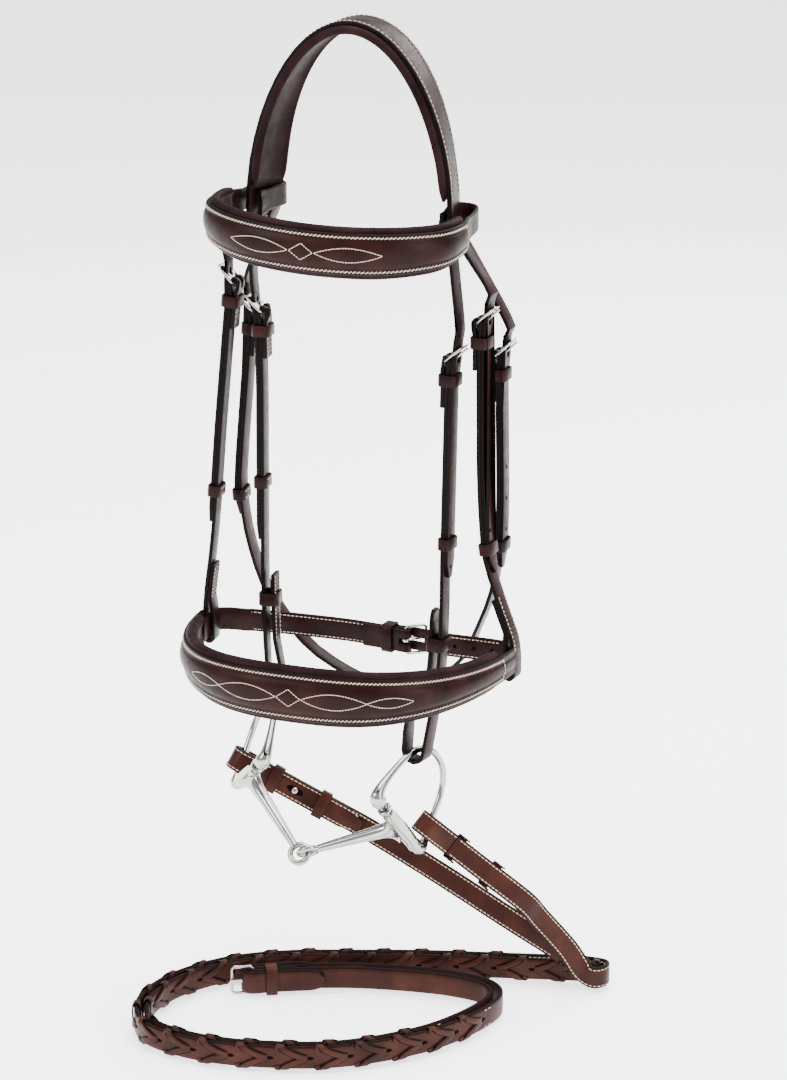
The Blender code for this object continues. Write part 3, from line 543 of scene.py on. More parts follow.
def bit_frame(side):
    """The middle of a D cheek's bar, the bar's direction and the D's direction away from it."""
    front, rear = array(BIT[side]["front"]), array(BIT[side]["rear"])
    bar = unit(rear - front)
    depth = array(BIT[side]["depth"])
    return (front + rear) / 2, bar, unit(depth - (depth @ bar) * bar)


def rein_axes(side):
    """The place on the ring, and the directions along the rein, across it and to its turned-back end."""
    middle, bar, depth = bit_frame(side)
    k = D_SHAPE.index(D_REIN)
    (b0, p0), (b1, p1) = D_SHAPE[k + 1], D_SHAPE[k - 1]
    ring = middle + D_REIN[0] * bar + D_REIN[1] * depth
    wire = unit((b1 - b0) * bar + (p1 - p0) * depth)
    away = unit(array(REIN_AIM[side]) - ring)
    across = 0.3 * unit(REIN_LEAN[side]) + 0.7 * wire * np.sign(wire[2])
    across = unit(across - (across @ away) * away)
    face = np.cross(across, away)
    return ring, away, across, face * np.sign(face[1]) * SIGN[side]


def rein_end(side):
    """A rein's last stretch, round the bar of the buckle."""
    bar, away, across = array(REIN_BAR), unit(REIN_BUCKLE_DIR), array((0, 0, 1))
    rear = unit(np.cross(away, across))
    rear = rear * np.sign(rear[1])
    if side == "left":
        tail = [(-32, -1.45), (-20, -1.45), (-12, -1.5), (-7, -2.0), (-3, -2.75)]
        turn = [(2.9 * np.sin(q), -2.9 * np.cos(q)) for q in np.radians(range(0, 181, 15))]
        fold = tail + turn + [(u, -o) for u, o in reversed(tail[2:])]
        return place(bar, away, -rear, fold)[::-1]
    turn = [(6.9 * np.sin(q), 6.9 * np.cos(q)) for q in np.radians(range(0, 181, 15))]
    return place(bar, away, rear, [(-30, 8.2), (-14, 7.8), (-6, 7.2)] + turn
                 + [(-6, -6.4), (-12, -5.8), (-20, -5.6), (-34, -6.2), (-50, -7.4)])


def rein_route(side):
    """Route of one rein from the bit to the buckle, with its across directions."""
    line = smooth([(x, y, REIN_Z) for x, y in COIL], 8.0)
    t = frames(line, (0, 0, 1))[0]
    offset = SIGN[side] * REIN_SIDE
    ground = line + offset * np.cross(t, array((0, 0, 1)))
    radius = REIN_TURN_R + offset
    cx, cy = REIN_TURN
    turn = [(cx + radius * np.sin(q), cy - radius * np.cos(q), REIN_TURN_Z - REIN_TURN_DROP * k)
            for k, q in enumerate(np.radians((20, 60, 100, 140)))]
    ring, away, across, face = rein_axes(side)
    start = ring + REIN_START * away - REIN_BACK * face
    straight = [start, start + 30 * away, start + (BILLET_END[side] - 15) * away]
    drop = smooth(np.vstack([straight, REIN_DROP[side], turn, ground[1:2]]), 3.0)[:-1]
    path = np.vstack([drop, ground[1:]])
    keep = np.arange(len(path)) < len(path) - FOLD_POINTS
    keep |= (path - array(REIN_BAR)) @ unit(REIN_BUCKLE_DIR) < -FOLD_REACH
    path = path[keep]
    low, over = REIN_UPRIGHT
    upright = np.clip((path[:, 2] - low) / over, 0, 1)[:, None]
    ups = (1 - upright) * array((0, 0, 1)) + upright * across
    end = rein_end(side)
    return np.vstack([path, end]), np.vstack([ups, np.tile((0.0, 0.0, 1.0), (len(end), 1))])


def strap_section(w, t):
    """A strap's outline with rounded, dark edges and slightly crowned faces."""
    r = min(0.7, 0.3 * t)
    u = np.linspace(-1, 1, 7) * (w / 2 - r)
    high = t / 2 + STRAP_CROWN * (1 - (2 * u / w) ** 2) - STRAP_CROWN * 0.3
    front, back = list(zip(u, high)), list(zip(u[::-1], -high[::-1]))
    right, left = [(w / 2, t / 2 - r), (w / 2, r - t / 2)], [(-w / 2, r - t / 2), (-w / 2, t / 2 - r)]
    return front + right + back + left


STRAP_MARKS = [0] * 6 + [1, 1, 1] + [0] * 6 + [1, 1, 1]     # 0 is a face of the strap, 1 its edge


def rounded(part, least=0.35):
    """Share of a strap's width at a share of the way in from its rounded tip."""
    return least + (1 - least) * np.sqrt(1 - (1 - part) ** 2)


def narrowed(path, width, end):
    """Width along a strap whose far end narrows to a rounded point over `end`."""
    left = along(path)[-1] - along(path)
    if not end:
        return np.full(len(path), float(width))
    return width * rounded(np.clip(left / end, 0, 1))


def lace(line, a, n, where, edge, side):
    """One thong of the lacing: over the edge of the rein, across its face and into the next slot."""
    half_w, half_t = REIN_W / 2, REIN_T / 2
    # Distance along the rein, then across it and out from its middle, then how far the thong lies flat.
    steps = [(-1.0, half_w - 2.5, -half_t - 0.1, -1), (0.0, half_w + 0.2, -half_t - 0.2, -0.7),
             (1.0, half_w + 0.75, 0.0, 0), (2.5, half_w - 0.3, half_t + 0.5, 0.75),
             (6.0, half_w - 2.6, half_t + 0.95, 1), (10.5, half_w - 4.8, half_t + 1.15, 1),
             (15.0, half_w - 6.7, half_t + 0.9, 1), (18.5, half_w - 7.8, half_t + 0.2, 1),
             (20.0, half_w - 8.2, half_t - 1.0, 1)]
    ahead, u, v, turn = array(steps).T[:, :, None]
    s = where + ahead[:, 0]
    p, aa, nn = at(s, line, line), at(s, line, a), at(s, line, n)
    path = p + edge * u * aa + side * v * nn
    normal = side * turn * nn + edge * np.sqrt(1 - turn**2) * aa
    t = np.gradient(path, axis=0)
    across = np.cross(normal, t)
    fine = smooth(path, 1.6)
    ways = at(along(fine) / along(fine)[-1] * along(path)[-1], path, across)
    shape = circle(1.0, 8) * (LACE_W / 2, LACE_T / 2)
    return carried(fine, ways, lambda i: shape, [1, 0, 0, 1, 1, 0, 0, 1])


def rein(side, looks, threads, hole):
    """One rein from the ring to the buckle, with its lacing, painted shade for its lacing slots, and edge
    stitches.
    """
    route, ups = rein_route(side)
    fine = smooth(route, 3.0)
    share = along(fine) / along(fine)[-1] * along(route)[-1]
    ups = at(share, route, ups)
    t, a, n = frames(fine, ups)
    thinned = np.clip((share / share[-1] - 0.9) / 0.05, 0, 1) * (side == "left")
    thick = REIN_T - (REIN_T - STRAP_T) * thinned
    wide = narrowed(fine, REIN_W, 12.0 if side == "right" else 0)
    strap = carried(fine, ups, lambda i: strap_section(wide[i], thick[i]), STRAP_MARKS)
    main = build(f"rein_{side}_strap", [strap], looks, nodes=(f"rein_{side}",))
    thongs, slots = [], []
    first, last = LACED[side]
    for where in np.arange(first, last, LACE_PITCH):
        for face in (-1, 1):
            for edge in (-1, 1):
                thongs.append(lace(fine, a, n, where, edge, face))
            # each thong's slot is a dark disc of painted shade, not a cut
            s = where + LACE_END
            normal = face * at(s, fine, n)
            spot = at(s, fine, fine) + (REIN_T / 2 + 0.16) * normal
            slots.append(hole_disc(spot, normal, at(s, fine, t), *SLOT))
    lacing = build(f"rein_{side}_lacing", thongs, looks)
    dark = build(f"rein_{side}_slots", slots, [hole])
    rows = []
    for face in (-1, 1):
        for edge in (-1, 1):
            for low, high in ((2.0, first - 8), (last + 16, last + 28)):
                s = np.arange(low, high, 3.0)
                out = face * at(s, fine, n)
                p = at(s, fine, fine) + edge * REIN_SEWN * at(s, fine, a)
                rows.append(stitches(p + REIN_TOP * out, out))
    sewn = build(f"rein_{side}_stitching", rows, [threads])
    return main, fine, [lacing, dark, sewn]


def open_keeper(ring, face):
    """Takes away the front of a keeper that is sewn in at the rein's edges."""
    def cut(bm):
        whole = list(bm.verts) + list(bm.edges) + list(bm.faces)
        bmesh.ops.bisect_plane(bm, geom=whole, plane_co=(ring - KEEPER_OPEN * face) * MM, plane_no=-face,
                               clear_outer=True)
        bmesh.ops.holes_fill(bm, edges=[e for e in bm.edges if len(e.link_faces) == 1], sides=0)
    return cut


def loop_rows(ring, away, across, face):
    """Stitch rows along both edges of the billet's loop round the ring."""
    turn = [(REIN_LOOP_R * np.sin(q), -REIN_LOOP_R * np.cos(q)) for q in np.radians(range(0, 181, 30))]
    outline = [(-20.5, -1.9), (-14, -2.6), (-6, -6.3)] + turn + [(-6, 6.3), (-14, 2.6), (-20, 1.9)]
    line = smooth(place(ring, -away, face, outline), 1.5)
    normal = units(np.cross(np.gradient(line, axis=0), across))
    normal = normal * -np.sign(normal[len(line) // 2] @ away)
    return [stitches(line + REIN_TOP * normal + edge * REIN_SEWN * across, normal) for edge in (-1, 1)]


def rein_fittings(side, looks, threads, metal, hole):
    """The turned-back end round the ring, its loops, its stud, painted shade for the stud's slot, and its
    edge stitching.
    """
    ring, away, across, face = rein_axes(side)
    made = [leather_node(f"rein_{side}_billet", across, looks)]
    for where in ("upper", "lower"):
        made.append(leather_node(f"rein_{side}_keeper_{where}", away, looks, 0.4,
                                 open_keeper(ring, face) if side == "right" else None))
    made.append(metal_node(f"rein_{side}_stud", metal, 0.3))
    end = BILLET_END[side]
    u = np.arange(-22.0, -(end - 3.0), -3.0)
    half = REIN_W / 2 * rounded(np.clip((end + u) / 13.0, 0, 1)) - REIN_INSET
    rows = []
    for edge in (-1, 1):
        line = ring - u[:, None] * away + edge * half[:, None] * across + (BILLET_RISE + REIN_TOP) * face
        rows.append(stitches(line, np.tile(face, (len(line), 1))))
    rows += loop_rows(ring, away, across, face)
    made.append(build(f"rein_{side}_billet_stitching", rows, [threads]))
    stud = frame["nodes"][f"rein_{side}_stud"]
    middle = np.mean([array(stud.matrix_world @ v.co) for v in stud.data.vertices], axis=0) / MM
    spot = ring + ((middle - ring) @ away) * away + (BILLET_RISE + REIN_T / 2 + 0.02) * face
    # a dark oval disc of painted shade round the stud, in place of its slot
    made.append(build(f"rein_{side}_stud_slot_shade", [hole_disc(spot, face, away, *STUD_SLOT)], [hole]))
    return made


def reins(looks, threads, metal, hole):
    shared = [metal_node("rein_buckle", metal, 0.3), metal_node("rein_tongue", metal),
              leather_node("rein_keeper", REIN_BUCKLE_DIR, looks, 0.4)]
    for side in SIDES:
        main, path, others = rein(side, looks, threads, hole)
        others += rein_fittings(side, looks, threads, metal, hole)
        others += shared if side == "left" else []
        length = along(path)[-1] * MM
        [tuple(p * MM) for p in path]
        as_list(others)


# ---- bands

def band(path, heights):
    """A band's line with its up and outward directions, measured from its middle."""
    _, up, face = frames(path, (0, 0, 1))
    if face[len(face) // 2][1] > 0:
        face = -face
    return {"path": path, "up": up, "out": face, "high": heights, "s": along(path) - along(path)[-1] / 2}


def mirrored(half):
    """A band's whole line, from its right half."""
    right = array(half)
    return np.vstack([right, right[::-1][1:] * (-1, 1, 1)])


def frontness(path):
    """0 where the browband passes behind the straps, 1 at its front."""
    return np.clip((-path[:, 1] - 5) / 85, 0, 1)


def brow_band():
    path = smooth(mirrored(BROW), 2.5)
    path[:, 2] -= BROW_TILT * path[:, 0]
    return band(path, 15 + 12 * frontness(path) ** 0.7)


def nose_band():
    q = np.radians(np.linspace(3.4, 176.6, 39))
    across = NOSE_A * np.sign(np.cos(q)) * abs(np.cos(q)) ** 0.75
    path = resample(np.stack([across, -NOSE_B * np.sin(q), np.full(len(q), NOSE_Z)], axis=1), 9.0)
    path = smooth(path, 2.5)
    return band(path, 18 + 15 * (path[:, 1] / NOSE_B) ** 2)


def swell(h, bulge, u):
    """How far the padded middle of a band of height h stands out at height u."""
    crown, margin = bulge
    inner = max(h / 2 - margin, 1.0)
    full = crown * np.clip((h - 15.5) / 8.0, 0, 1)
    return full * np.clip(1 - (u / inner) ** 2, 0, 1) ** 0.6


def band_section(h, t, bulge):
    """Flat margins for the stitches, a raised middle, and rounded dark edges."""
    u = np.linspace(-1, 1, 25) * (h / 2 - 0.7)
    front = list(zip(u, t / 2 + swell(h, bulge, u)))
    return front + [(h / 2, t / 2 - 0.8), (h / 2, 0.8 - t / 2), (h / 2 - 0.7, -t / 2),
                    (0.7 - h / 2, -t / 2), (-h / 2, 0.8 - t / 2), (-h / 2, t / 2 - 0.8)]


def roll_section(h, web, r, forward):
    """A pad's outline: a round roll along each edge, joined by a thinner web."""
    c, alpha = h / 2 - r, np.arcsin(web / (2 * r))
    top, low = np.linspace(np.pi - alpha, alpha - np.pi, 17), np.linspace(-alpha, alpha - 2 * np.pi, 17)
    return ([(c + r * np.cos(q), forward + r * np.sin(q)) for q in top]
            + [(r * np.cos(q) - c, forward + r * np.sin(q)) for q in low])


def band_skin(line, section, keep=None, marks=None, shift=0.0):
    """The skin of a section carried along a band, over the points to keep."""
    rings = []
    for i in np.flatnonzero(keep) if keep is not None else range(len(line["path"])):
        s = array(section(line["high"][i], i))
        rings.append(line["path"][i] + s[:, :1] * line["up"][i] + (s[:, 1:] + shift) * line["out"][i])
    return skin(rings, marks)


def on_band(line, s, u, lift):
    """Points on a band's front at distances s from its middle and heights u, and their normals."""
    middle, up, out = (read(s, line["s"], line[key]) for key in ("path", "up", "out"))
    out = units(out)
    return middle + np.reshape(u, (-1, 1)) * up + np.reshape(lift, (-1, 1)) * out, out


def band_stitches(line, t, bulge, inset, reach, leaves, diamond):
    """Twisted rows near both edges and the leaf pattern in the middle."""
    rows = []
    s = np.arange(-reach, reach, 2.0)
    high = np.interp(s, line["s"], line["high"])
    for edge in (-1, 1):
        p, n = on_band(line, s, edge * (high / 2 - inset), np.full(len(s), t / 2 + 0.15))
        rows.append(stitches(p, n, 2.7, 2.9, 0.42, slant=0.42))
        u = np.linspace(-1, 1, 15) * (high[0] / 2 - inset)
        p, n = on_band(line, np.full(15, edge * reach), u, t / 2 + THREAD_LIFT + swell(high[0], bulge, u))
        rows.append(stitches(p, n, 2.6, 2.2, 0.36))
    ways = []
    for side in (-1, 1):
        for low, far, tall in leaves:
            x = np.linspace(0, 1, 30)
            for sign in (-1, 1):
                ways.append((side * (low + (far - low) * x), sign * tall * np.sin(np.pi * x) ** 0.9))
        for sign in (-1, 1):
            x = np.linspace(0, 1, 8)
            ways.append((side * diamond[0] * (1 - x), sign * diamond[1] * x))
    for s, u in ways:
        high = np.interp(s, line["s"], line["high"])
        lift = np.array([t / 2 + swell(h, bulge, v) for h, v in zip(high, u)])
        p, n = on_band(line, s, u, lift + 0.1)
        rows.append(stitches(p, n, 1.9, 1.75, 0.3))
    return rows


def bands(leathers, pads, threads):
    """The browband and the noseband: leather fronts, rolled pads and the stitched pattern."""
    marks = [0] * 24 + [1, 1, 1, 0, 1, 1, 1]
    brow, nose = brow_band(), nose_band()
    thin = 2.4 + 1.2 * np.clip(frontness(brow["path"]) * 4, 0, 1)
    front = band_skin(brow, lambda h, i: band_section(h, thin[i], BROW_BULGE), marks=marks)
    build("browband_front", [front], leathers, nodes=("browband",))
    front = band_skin(nose, lambda h, i: band_section(h, NOSE_T, NOSE_BULGE), marks=marks)
    build("noseband_front", [front], leathers, nodes=("noseband",))
    # How far back each pad reaches, its web's thickness and its rolls' radius.
    rolls = (("browband", brow, -22, 4.6, 3.4), ("noseband", nose, -26, 5.4, 4.2))
    for name, line, reach, web, r in rolls:
        keep = line["path"][:, 1] < reach
        close = np.clip((reach - line["path"][:, 1]) / 9.0, 0.25, 1) ** 0.5
        pad = band_skin(line, lambda h, i: roll_section((h + 7) * (0.9 + 0.1 * close[i]), web * close[i],
                                                        r * (0.55 + 0.45 * close[i]), 0.8),
                        keep, shift=-PAD_DEPTH)
        piece = build(f"{name}_pad", [pad], pads,
                      nodes=(f"{name}_padding",), sharp=180)
    rows = band_stitches(brow, 3.6, BROW_BULGE, 2.3, 125, [(9, 52, 4.6)], (8, 5.4))
    build("browband_stitching", rows, [threads])
    rows = band_stitches(nose, NOSE_T, NOSE_BULGE, 2.7, 168, [(9, 52, 5.4), (52, 82, 3.4)], (8.5, 6.0))
    build("noseband_stitching", rows, [threads])


# ---- headstall

def facing_out(line, across, side):
    """A strap's line with its tangents, its across directions and its faces away from the head."""
    t, a, face = frames(line, across)
    return line, t, a, -face if face[0][0] * SIGN[side] < 0 else face


def strap_line(name, side):
    """The middle line of one side's cheekpiece, noseband hanger or throatlatch half, from its top."""
    if name == "throat":
        line = smooth(THROAT, 4.0)[::-SIGN[side]]
        return facing_out(line[:len(line) // 2], (0, 1, 0), side)
    points = CHEEK[side] if name == "cheek" else HANGER[side]
    return facing_out(smooth(points, 4.0), (SIGN[side] * 0.08, 1, 0), side)


def edge_rows(line, a, face, offset, half, low, high):
    """Two stitch rows along a strap between two heights, on the side that `offset` points to."""
    keep = (line[:, 2] < high) & (line[:, 2] > low)
    if keep.sum() < 3:
        return []
    way = np.sign(offset) * face[keep]
    base = line[keep] + offset * face[keep]
    return [stitches(base + edge * half * a[keep], way, 2.9, 2.2) for edge in (-1, 1)]


def strap_stitching(threads):
    """Edge rows under the buckles, on the turned-up ends, at the hangers' feet and on the rear straps."""
    rows = []
    lift = STRAP_T / 2 + 0.15
    inner, outer = -(MAIN_OFF + lift), MAIN_OFF + lift
    half = STRAP_W / 2 - 1.6
    for side in SIDES:
        for name in STRAPS:
            line, _, a, face = strap_line(name, side)
            top = line[0][2]
            rows += edge_rows(line, a, face, inner, half, top - 32, top - 5)
        line, _, a, face = strap_line("cheek", side)
        rows += edge_rows(line, a, face, -(TAIL_OFF + lift), half, TAIL_FOOT, TAIL_TOP[side] - 8)
        line, _, a, face = strap_line("hanger", side)
        rows += edge_rows(line, a, face, inner, half, -404, -378)
        rows += edge_rows(line, a, face, outer, half, -418, -378)
        line = smooth(REAR[side], 4.0)
        _, a, face = frames(line, (0, 0, 1))
        keep = (line[:, 0] * SIGN[side] < REAR_SEWN) & (abs(line[:, 0] - REAR_BUCKLE_X) > 7)
        back = (0, MAIN_OFF if side == "left" else 0, 0)
        for way in (-1, 1):
            out = way * face[keep]
            for edge in (-1, 1):
                p = line[keep] + edge * (REAR_W / 2 - 1.8) * a[keep] + (STRAP_T / 2 + THREAD_LIFT) * out
                rows.append(stitches(p + back, out, 3.0, 2.3))
    build("strap_stitching", rows, [threads])


def keeper_stitching(threads):
    """Two short cream rows on the inward face of each runner keeper."""
    for side in SIDES:
        for name in STRAPS:
            node = f"{name}_runner_{side}"
            keeper = frame["nodes"][node]
            points = array([keeper.matrix_world @ v.co for v in keeper.data.vertices]) / MM
            middle = (points.min(0) + points.max(0)) / 2
            line, t, a, face = strap_line(name, side)
            k = np.argmin(abs(line[:, 2] - middle[2]))
            low = ((points - line[k]) @ face[k]).min()
            tall = abs((points - middle) @ t[k]).max() - 1.7
            rows = []
            for edge in (-1, 1):
                p = middle + ((line[k] - middle) @ face[k] + low - 0.1) * face[k] + edge * tall * t[k]
                row = p + np.linspace(-4.6, 4.6, 9)[:, None] * a[k]
                rows.append(stitches(row, np.tile(-face[k], (9, 1)), 2.6, 2.1, 0.3))
            build(f"{node}_stitching", rows, [threads], body_of(node))


def arch(lift):
    """The crown's line over the head, its across directions, and how far down it each point is."""
    q = np.radians(np.linspace(-90, 90, CROWN_STEPS))
    flat = np.cos(np.radians(90 / 25))
    high = lift - CROWN_DROP * (flat - np.cos(q))
    path = np.stack([CROWN_HALF * np.sin(q), np.zeros(len(q)), high], axis=1)
    depth = (path[:, 2].max() - path[:, 2]) / CROWN_DROP
    lean = -np.sign(path[:, 0]) * CROWN_TILT * np.clip(depth * 1.4, 0, 1)
    across = np.stack([lean, np.ones(len(q)), np.zeros(len(q))], axis=1)
    return path, across, depth


def soft_bends(bm):
    """Rounds the billets' bends, which run across the straps."""
    bends = []
    for e in bm.edges:
        if len(e.link_faces) == 2 and np.radians(7) < e.calc_face_angle() < np.radians(38):
            way = e.verts[1].co - e.verts[0].co
            if abs(way.y) > 0.85 * way.length > 0.006 and min(v.co.z for v in e.verts) < -0.125:
                bends.append(e)
    bmesh.ops.bevel(bm, geom=bends, offset=0.005, segments=3, profile=0.5, affect="EDGES", clamp_overlap=True)


def crown(looks, pads, threads):
    """The crown's leather, the pad under it and the stitching near its edges."""
    leather_node("headpiece", (0, 1, 0), looks, cut=soft_bends)
    path, across, depth = arch(PAD_T + GAP + CROWN_T / 2)
    _, a, face = frames(path, across)
    face = face * np.sign(face[len(face) // 2][2])
    width = CROWN_W_TOP + (CROWN_W_END - CROWN_W_TOP) * depth**2
    rows = []
    keep = depth < 0.93
    for edge in (-1, 1):
        line = path + edge * (width / 2 - 2.2)[:, None] * a + (CROWN_T / 2 + THREAD_LIFT) * face
        rows.append(stitches(line[keep], face[keep], 3.4, 2.6))
    build("crown_stitching", rows, [threads])
    under = path - (CROWN_T / 2 + GAP + PAD_T / 2) * face
    keep = under[:, 2] > CROWN_PAD_END
    under, across = under[keep], across[keep]
    close = np.clip((under[:, 2] - CROWN_PAD_END) / 9.0, 0.12, 1) ** 0.5
    pad = carried(under, across, lambda i: roll_section((CROWN_W_TOP + 8) * (0.85 + 0.15 * close[i]),
                                                        3.6 * close[i], 2.9 * close[i], 0.0))
    piece = build("crown_pad", [pad], pads, nodes=("crown_padding",), sharp=180)


def hole_disc(place_at, normal, way, half_long, half_wide):
    """A dark disc that lies on a strap: painted shade in place of a punched hole or slot."""
    side_way = np.cross(normal, way)
    shape = circle(1.0, DISC_SIDES) * (half_long, half_wide)
    layers = ((-0.3, 1), (0.1, 1), (0.12, 0.6))     # depth and size of each ring of the disc
    return skin([[place_at + d * normal + k * (x * way + y * side_way) for x, y in shape] for d, k in layers])


def billet_hole_shade(hole):
    """Dark discs of painted shade for the punched holes down the billets' fronts and through the right rear
    strap.
    """
    skins = []
    for side in SIDES:
        for name in STRAPS:
            line, t, _, face = strap_line(name, side)
            end = along(line)[np.argmin(abs(line[:, 2] - TIPS[name][side]))] - 16
            for where in np.arange(HOLE_FIRST, end, HOLE_PITCH):
                p, n, w = (at(where, line, v) for v in (line, face, t))
                p = p + (BILLET_OFF + BILLET_T / 2 + 0.02) * n
                skins.append(hole_disc(p, n, w, HOLE_R, HOLE_R))
    line = smooth(REAR["right"], 2.0)[::-1]
    way, _, out = frames(line, (0, 0, 1))
    for x in REAR_HOLES:
        p, n, w = (read(x, line[:, 0], v) for v in (line, out, way))
        for turn in (-1, 1):
            place_at = p + turn * (STRAP_T / 2 + 0.02) * n
            skins.append(hole_disc(place_at, turn * n, w, REAR_HOLE_R, REAR_HOLE_R))
    build("billet_hole_shade", skins, [hole])


def rounded_tail(side):
    """Rounds the tip of a cheekpiece's turned-up end."""
    line, _, a, face = strap_line("cheek", side)
    top = TAIL_TOP[side]

    def cut(bm):
        for drop in TAIL_CUTS:
            whole = list(bm.verts) + list(bm.edges) + list(bm.faces)
            bmesh.ops.bisect_plane(bm, geom=whole, plane_co=(0, 0, (top - drop) * MM), plane_no=(0, 0, 1))
        for v in bm.verts:
            here = array(v.co) / MM
            k = np.argmin(abs(line[:, 2] - here[2]))
            apart = here - line[k]
            if here[2] > top - TAIL_ROUND + 0.1 and apart @ face[k] < -3.6:
                share = rounded(np.clip((top - here[2]) / TAIL_ROUND, 0, 1), 0.3)
                v.co = (here - (1 - share) * (apart @ a[k]) * a[k]) * MM
    return cut


def headstall(looks, metal):
    """The straps, buckles and keepers that keep their CAD shapes."""
    side_way, up_way = (0, 1, 0), (0, 0, 1)
    for side in SIDES:
        leather_node(f"cheekpiece_{side}", side_way, looks, cut=rounded_tail(side))
        leather_node(f"noseband_hanger_{side}", side_way, looks)
        leather_node(f"noseband_rear_{side}", up_way, looks)
        leather_node(f"cheek_hook_keeper_{side}", up_way, looks, rounding=0.4)
        for name in STRAPS:
            wire_node(f"{name}_buckle_{side}", metal)
            metal_node(f"{name}_tongue_{side}", metal)
            leather_node(f"{name}_keeper_{side}", up_way, looks, rounding=0.4)
            leather_node(f"{name}_runner_{side}", up_way, looks, rounding=0.4)
    leather_node("throatlatch", side_way, looks)
    leather_node("noseband_keeper", (1, 0, 0), looks, rounding=0.4)
    metal_node("noseband_buckle", metal, 0.3)
    metal_node("noseband_tongue", metal)


# ---- bit

def hump(distance, height, reach):
    return height * np.exp(-(distance / reach) ** 2)


def bit_ring(side, metal):
    """The D: round wire that thickens into a butt at each end of the bar, most of all in front."""
    middle, bar, depth = bit_frame(side)
    curve = smooth(np.array([middle + b * bar + p * depth for b, p in D_SHAPE]), 1.5)
    straight = np.linspace(middle + BAR_HALF * bar, middle - BAR_HALF * bar, 20)
    path = np.vstack([curve, straight])
    ends = [middle + b * bar + p * depth for b, p in BUTTS]
    near = np.min([np.linalg.norm(path - e, axis=1) for e in ends], axis=0)
    club = np.linalg.norm(path - ends[0], axis=1)
    on_curve = np.arange(len(path)) < len(curve)
    radii = RING_R + hump(near, *BUTT)
    radii += np.where(on_curve, hump(club, *CLUB_CURVE), hump(club, *CLUB_BAR))
    shape = circle(1.0, 20)
    wire = carried(path, np.cross(bar, depth), lambda i: shape * radii[i], closed=True)
    node = f"bit_ring_{side}"
    build(f"bit_cheek_{side}", [wire], [metal], node, (node,), 180)


def bit_arm(side, chain, eye_normal, metal):
    """A sleeve with turned lips, an arm that tapers away from it, and the linked eye."""
    middle, bar, _ = bit_frame(side)
    eye = array(LINK) - SIGN[side] * 0.5 * EYE_R * chain
    reach = unit(eye - middle)
    low, high = SLEEVE
    bore = SLEEVE_BORE - SLEEVE_R
    lip = [(0, bore), (0, -0.3), (0.5, 0.3), (2.2, 0.3), (3.0, -0.3), (10, 0.1)]    # in from an end, and out
    outline = [(low + b, r) for b, r in lip] + [(1, 0.6)] + [(high - b, r) for b, r in reversed(lip)]
    normal = unit(np.cross(bar, reach))
    other = np.cross(normal, bar)
    rings = []
    for b, r in outline:
        ring = circle(SLEEVE_R + r, 28)
        rings.append(middle + b * bar + ring[:, :1] * normal + ring[:, 1:] * other)
    sleeve = skin(rings, closed=True)
    long = np.linalg.norm(eye - middle) - EYE_R - ARM_SHORT
    x = np.linspace(0, 1, 34)
    radii = ARM_TIP + ARM_TAPER * (1 - x) ** 0.85 + ARM_FLARE * np.exp(-x / 0.055)
    path = middle + (ARM_START + long * x)[:, None] * reach
    shape = circle(1.0, 24)
    taper = carried(path, bar, lambda i: shape * (radii[i] * (1 + 0.8 * np.exp(-x[i] / 0.06)), radii[i]))
    side_way = unit(np.cross(eye_normal, reach))
    turn = np.radians(np.arange(0, 360, 10))
    loop = np.array([eye - EYE_R * np.cos(q) * reach + EYE_R * np.sin(q) * side_way for q in turn])
    eye_skin = carried(loop, eye_normal, lambda i: circle(EYE_WIRE, 16), closed=True)
    node = f"bit_arm_{side}"
    build(f"mouthpiece_{side}", [sleeve, taper, eye_skin], [metal], node, (node,))


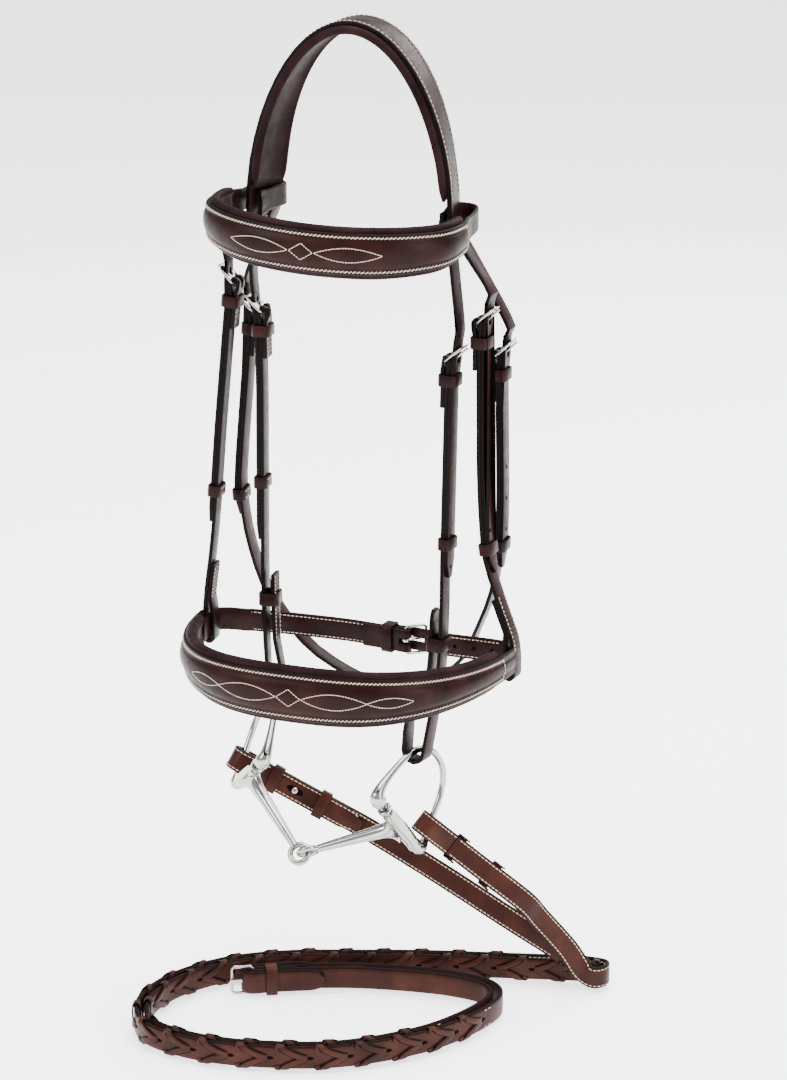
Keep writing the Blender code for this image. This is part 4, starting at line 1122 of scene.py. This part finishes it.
def bit(metal):
    """Both D cheeks and both arms, with each arm's eye at right angles to the other's."""
    left_reach = unit(array(LINK) - bit_frame("left")[0])
    right_reach = unit(array(LINK) - bit_frame("right")[0])
    left_normal = unit(np.cross(left_reach, right_reach))
    right_normal = unit(np.cross(right_reach, left_normal))
    for side, normal in (("left", left_normal), ("right", right_normal)):
        bit_ring(side, metal)
        bit_arm(side, right_reach, normal, metal)


# ---- scene

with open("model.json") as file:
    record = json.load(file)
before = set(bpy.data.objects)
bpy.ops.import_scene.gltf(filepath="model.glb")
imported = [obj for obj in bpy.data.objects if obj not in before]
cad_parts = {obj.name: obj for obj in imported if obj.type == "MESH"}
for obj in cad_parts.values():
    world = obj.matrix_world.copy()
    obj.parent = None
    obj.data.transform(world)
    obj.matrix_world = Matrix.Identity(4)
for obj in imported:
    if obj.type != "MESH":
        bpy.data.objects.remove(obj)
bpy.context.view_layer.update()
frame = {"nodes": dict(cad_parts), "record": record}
set_camera()
set_light()

havana = leather("havana_leather", (0.0065, 0.0018, 0.0018, 1), (0.0115, 0.003, 0.0028, 1),
                 (0.019, 0.0054, 0.0048, 1))
padding = leather("padding_leather", (0.0075, 0.003, 0.0034, 1), (0.0125, 0.0052, 0.0056, 1),
                  (0.02, 0.009, 0.0095, 1), rough=(0.46, 0.6), shine=0.02, grain=0.45)
rein_leather = leather("rein_leather", (0.018, 0.0052, 0.004, 1), (0.031, 0.0092, 0.0064, 1),
                       (0.05, 0.016, 0.01, 1))
edge = matt("strap_edge", 420.0, 5.0, (0.3, (0.0008, 0.0005, 0.0005, 1)), (0.75, (0.004, 0.0018, 0.0016, 1)),
            roughness=0.5, relief=0.3, specular=0.06)
cream = matt("cream_thread", 900.0, 4.0, (0.3, (0.27, 0.21, 0.145, 1)), (0.65, (0.5, 0.42, 0.31, 1)),
             roughness=0.7, relief=0.5)
bright = steel("polished_steel")
# painted shade: near-black colour of the discs laid where holes and slots are, in place of the shade inside
# them
shade = matt("painted_hole_shade", 700.0, 3.0, (0.3, (0.001, 0.0007, 0.0007, 1)), (0.7, (0.003, 0.0015, 0.0015, 1)),
             roughness=0.85, specular=0.03)

reins([rein_leather, edge], cream, bright, shade)
bit(bright)
crown([havana, edge], [padding], cream)
bands([havana, edge], [padding], cream)
headstall([havana, edge], bright)
strap_stitching(cream)
keeper_stitching(cream)
billet_hole_shade(shade)

set_floor(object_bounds()[0][2] - FLOOR_GAP)
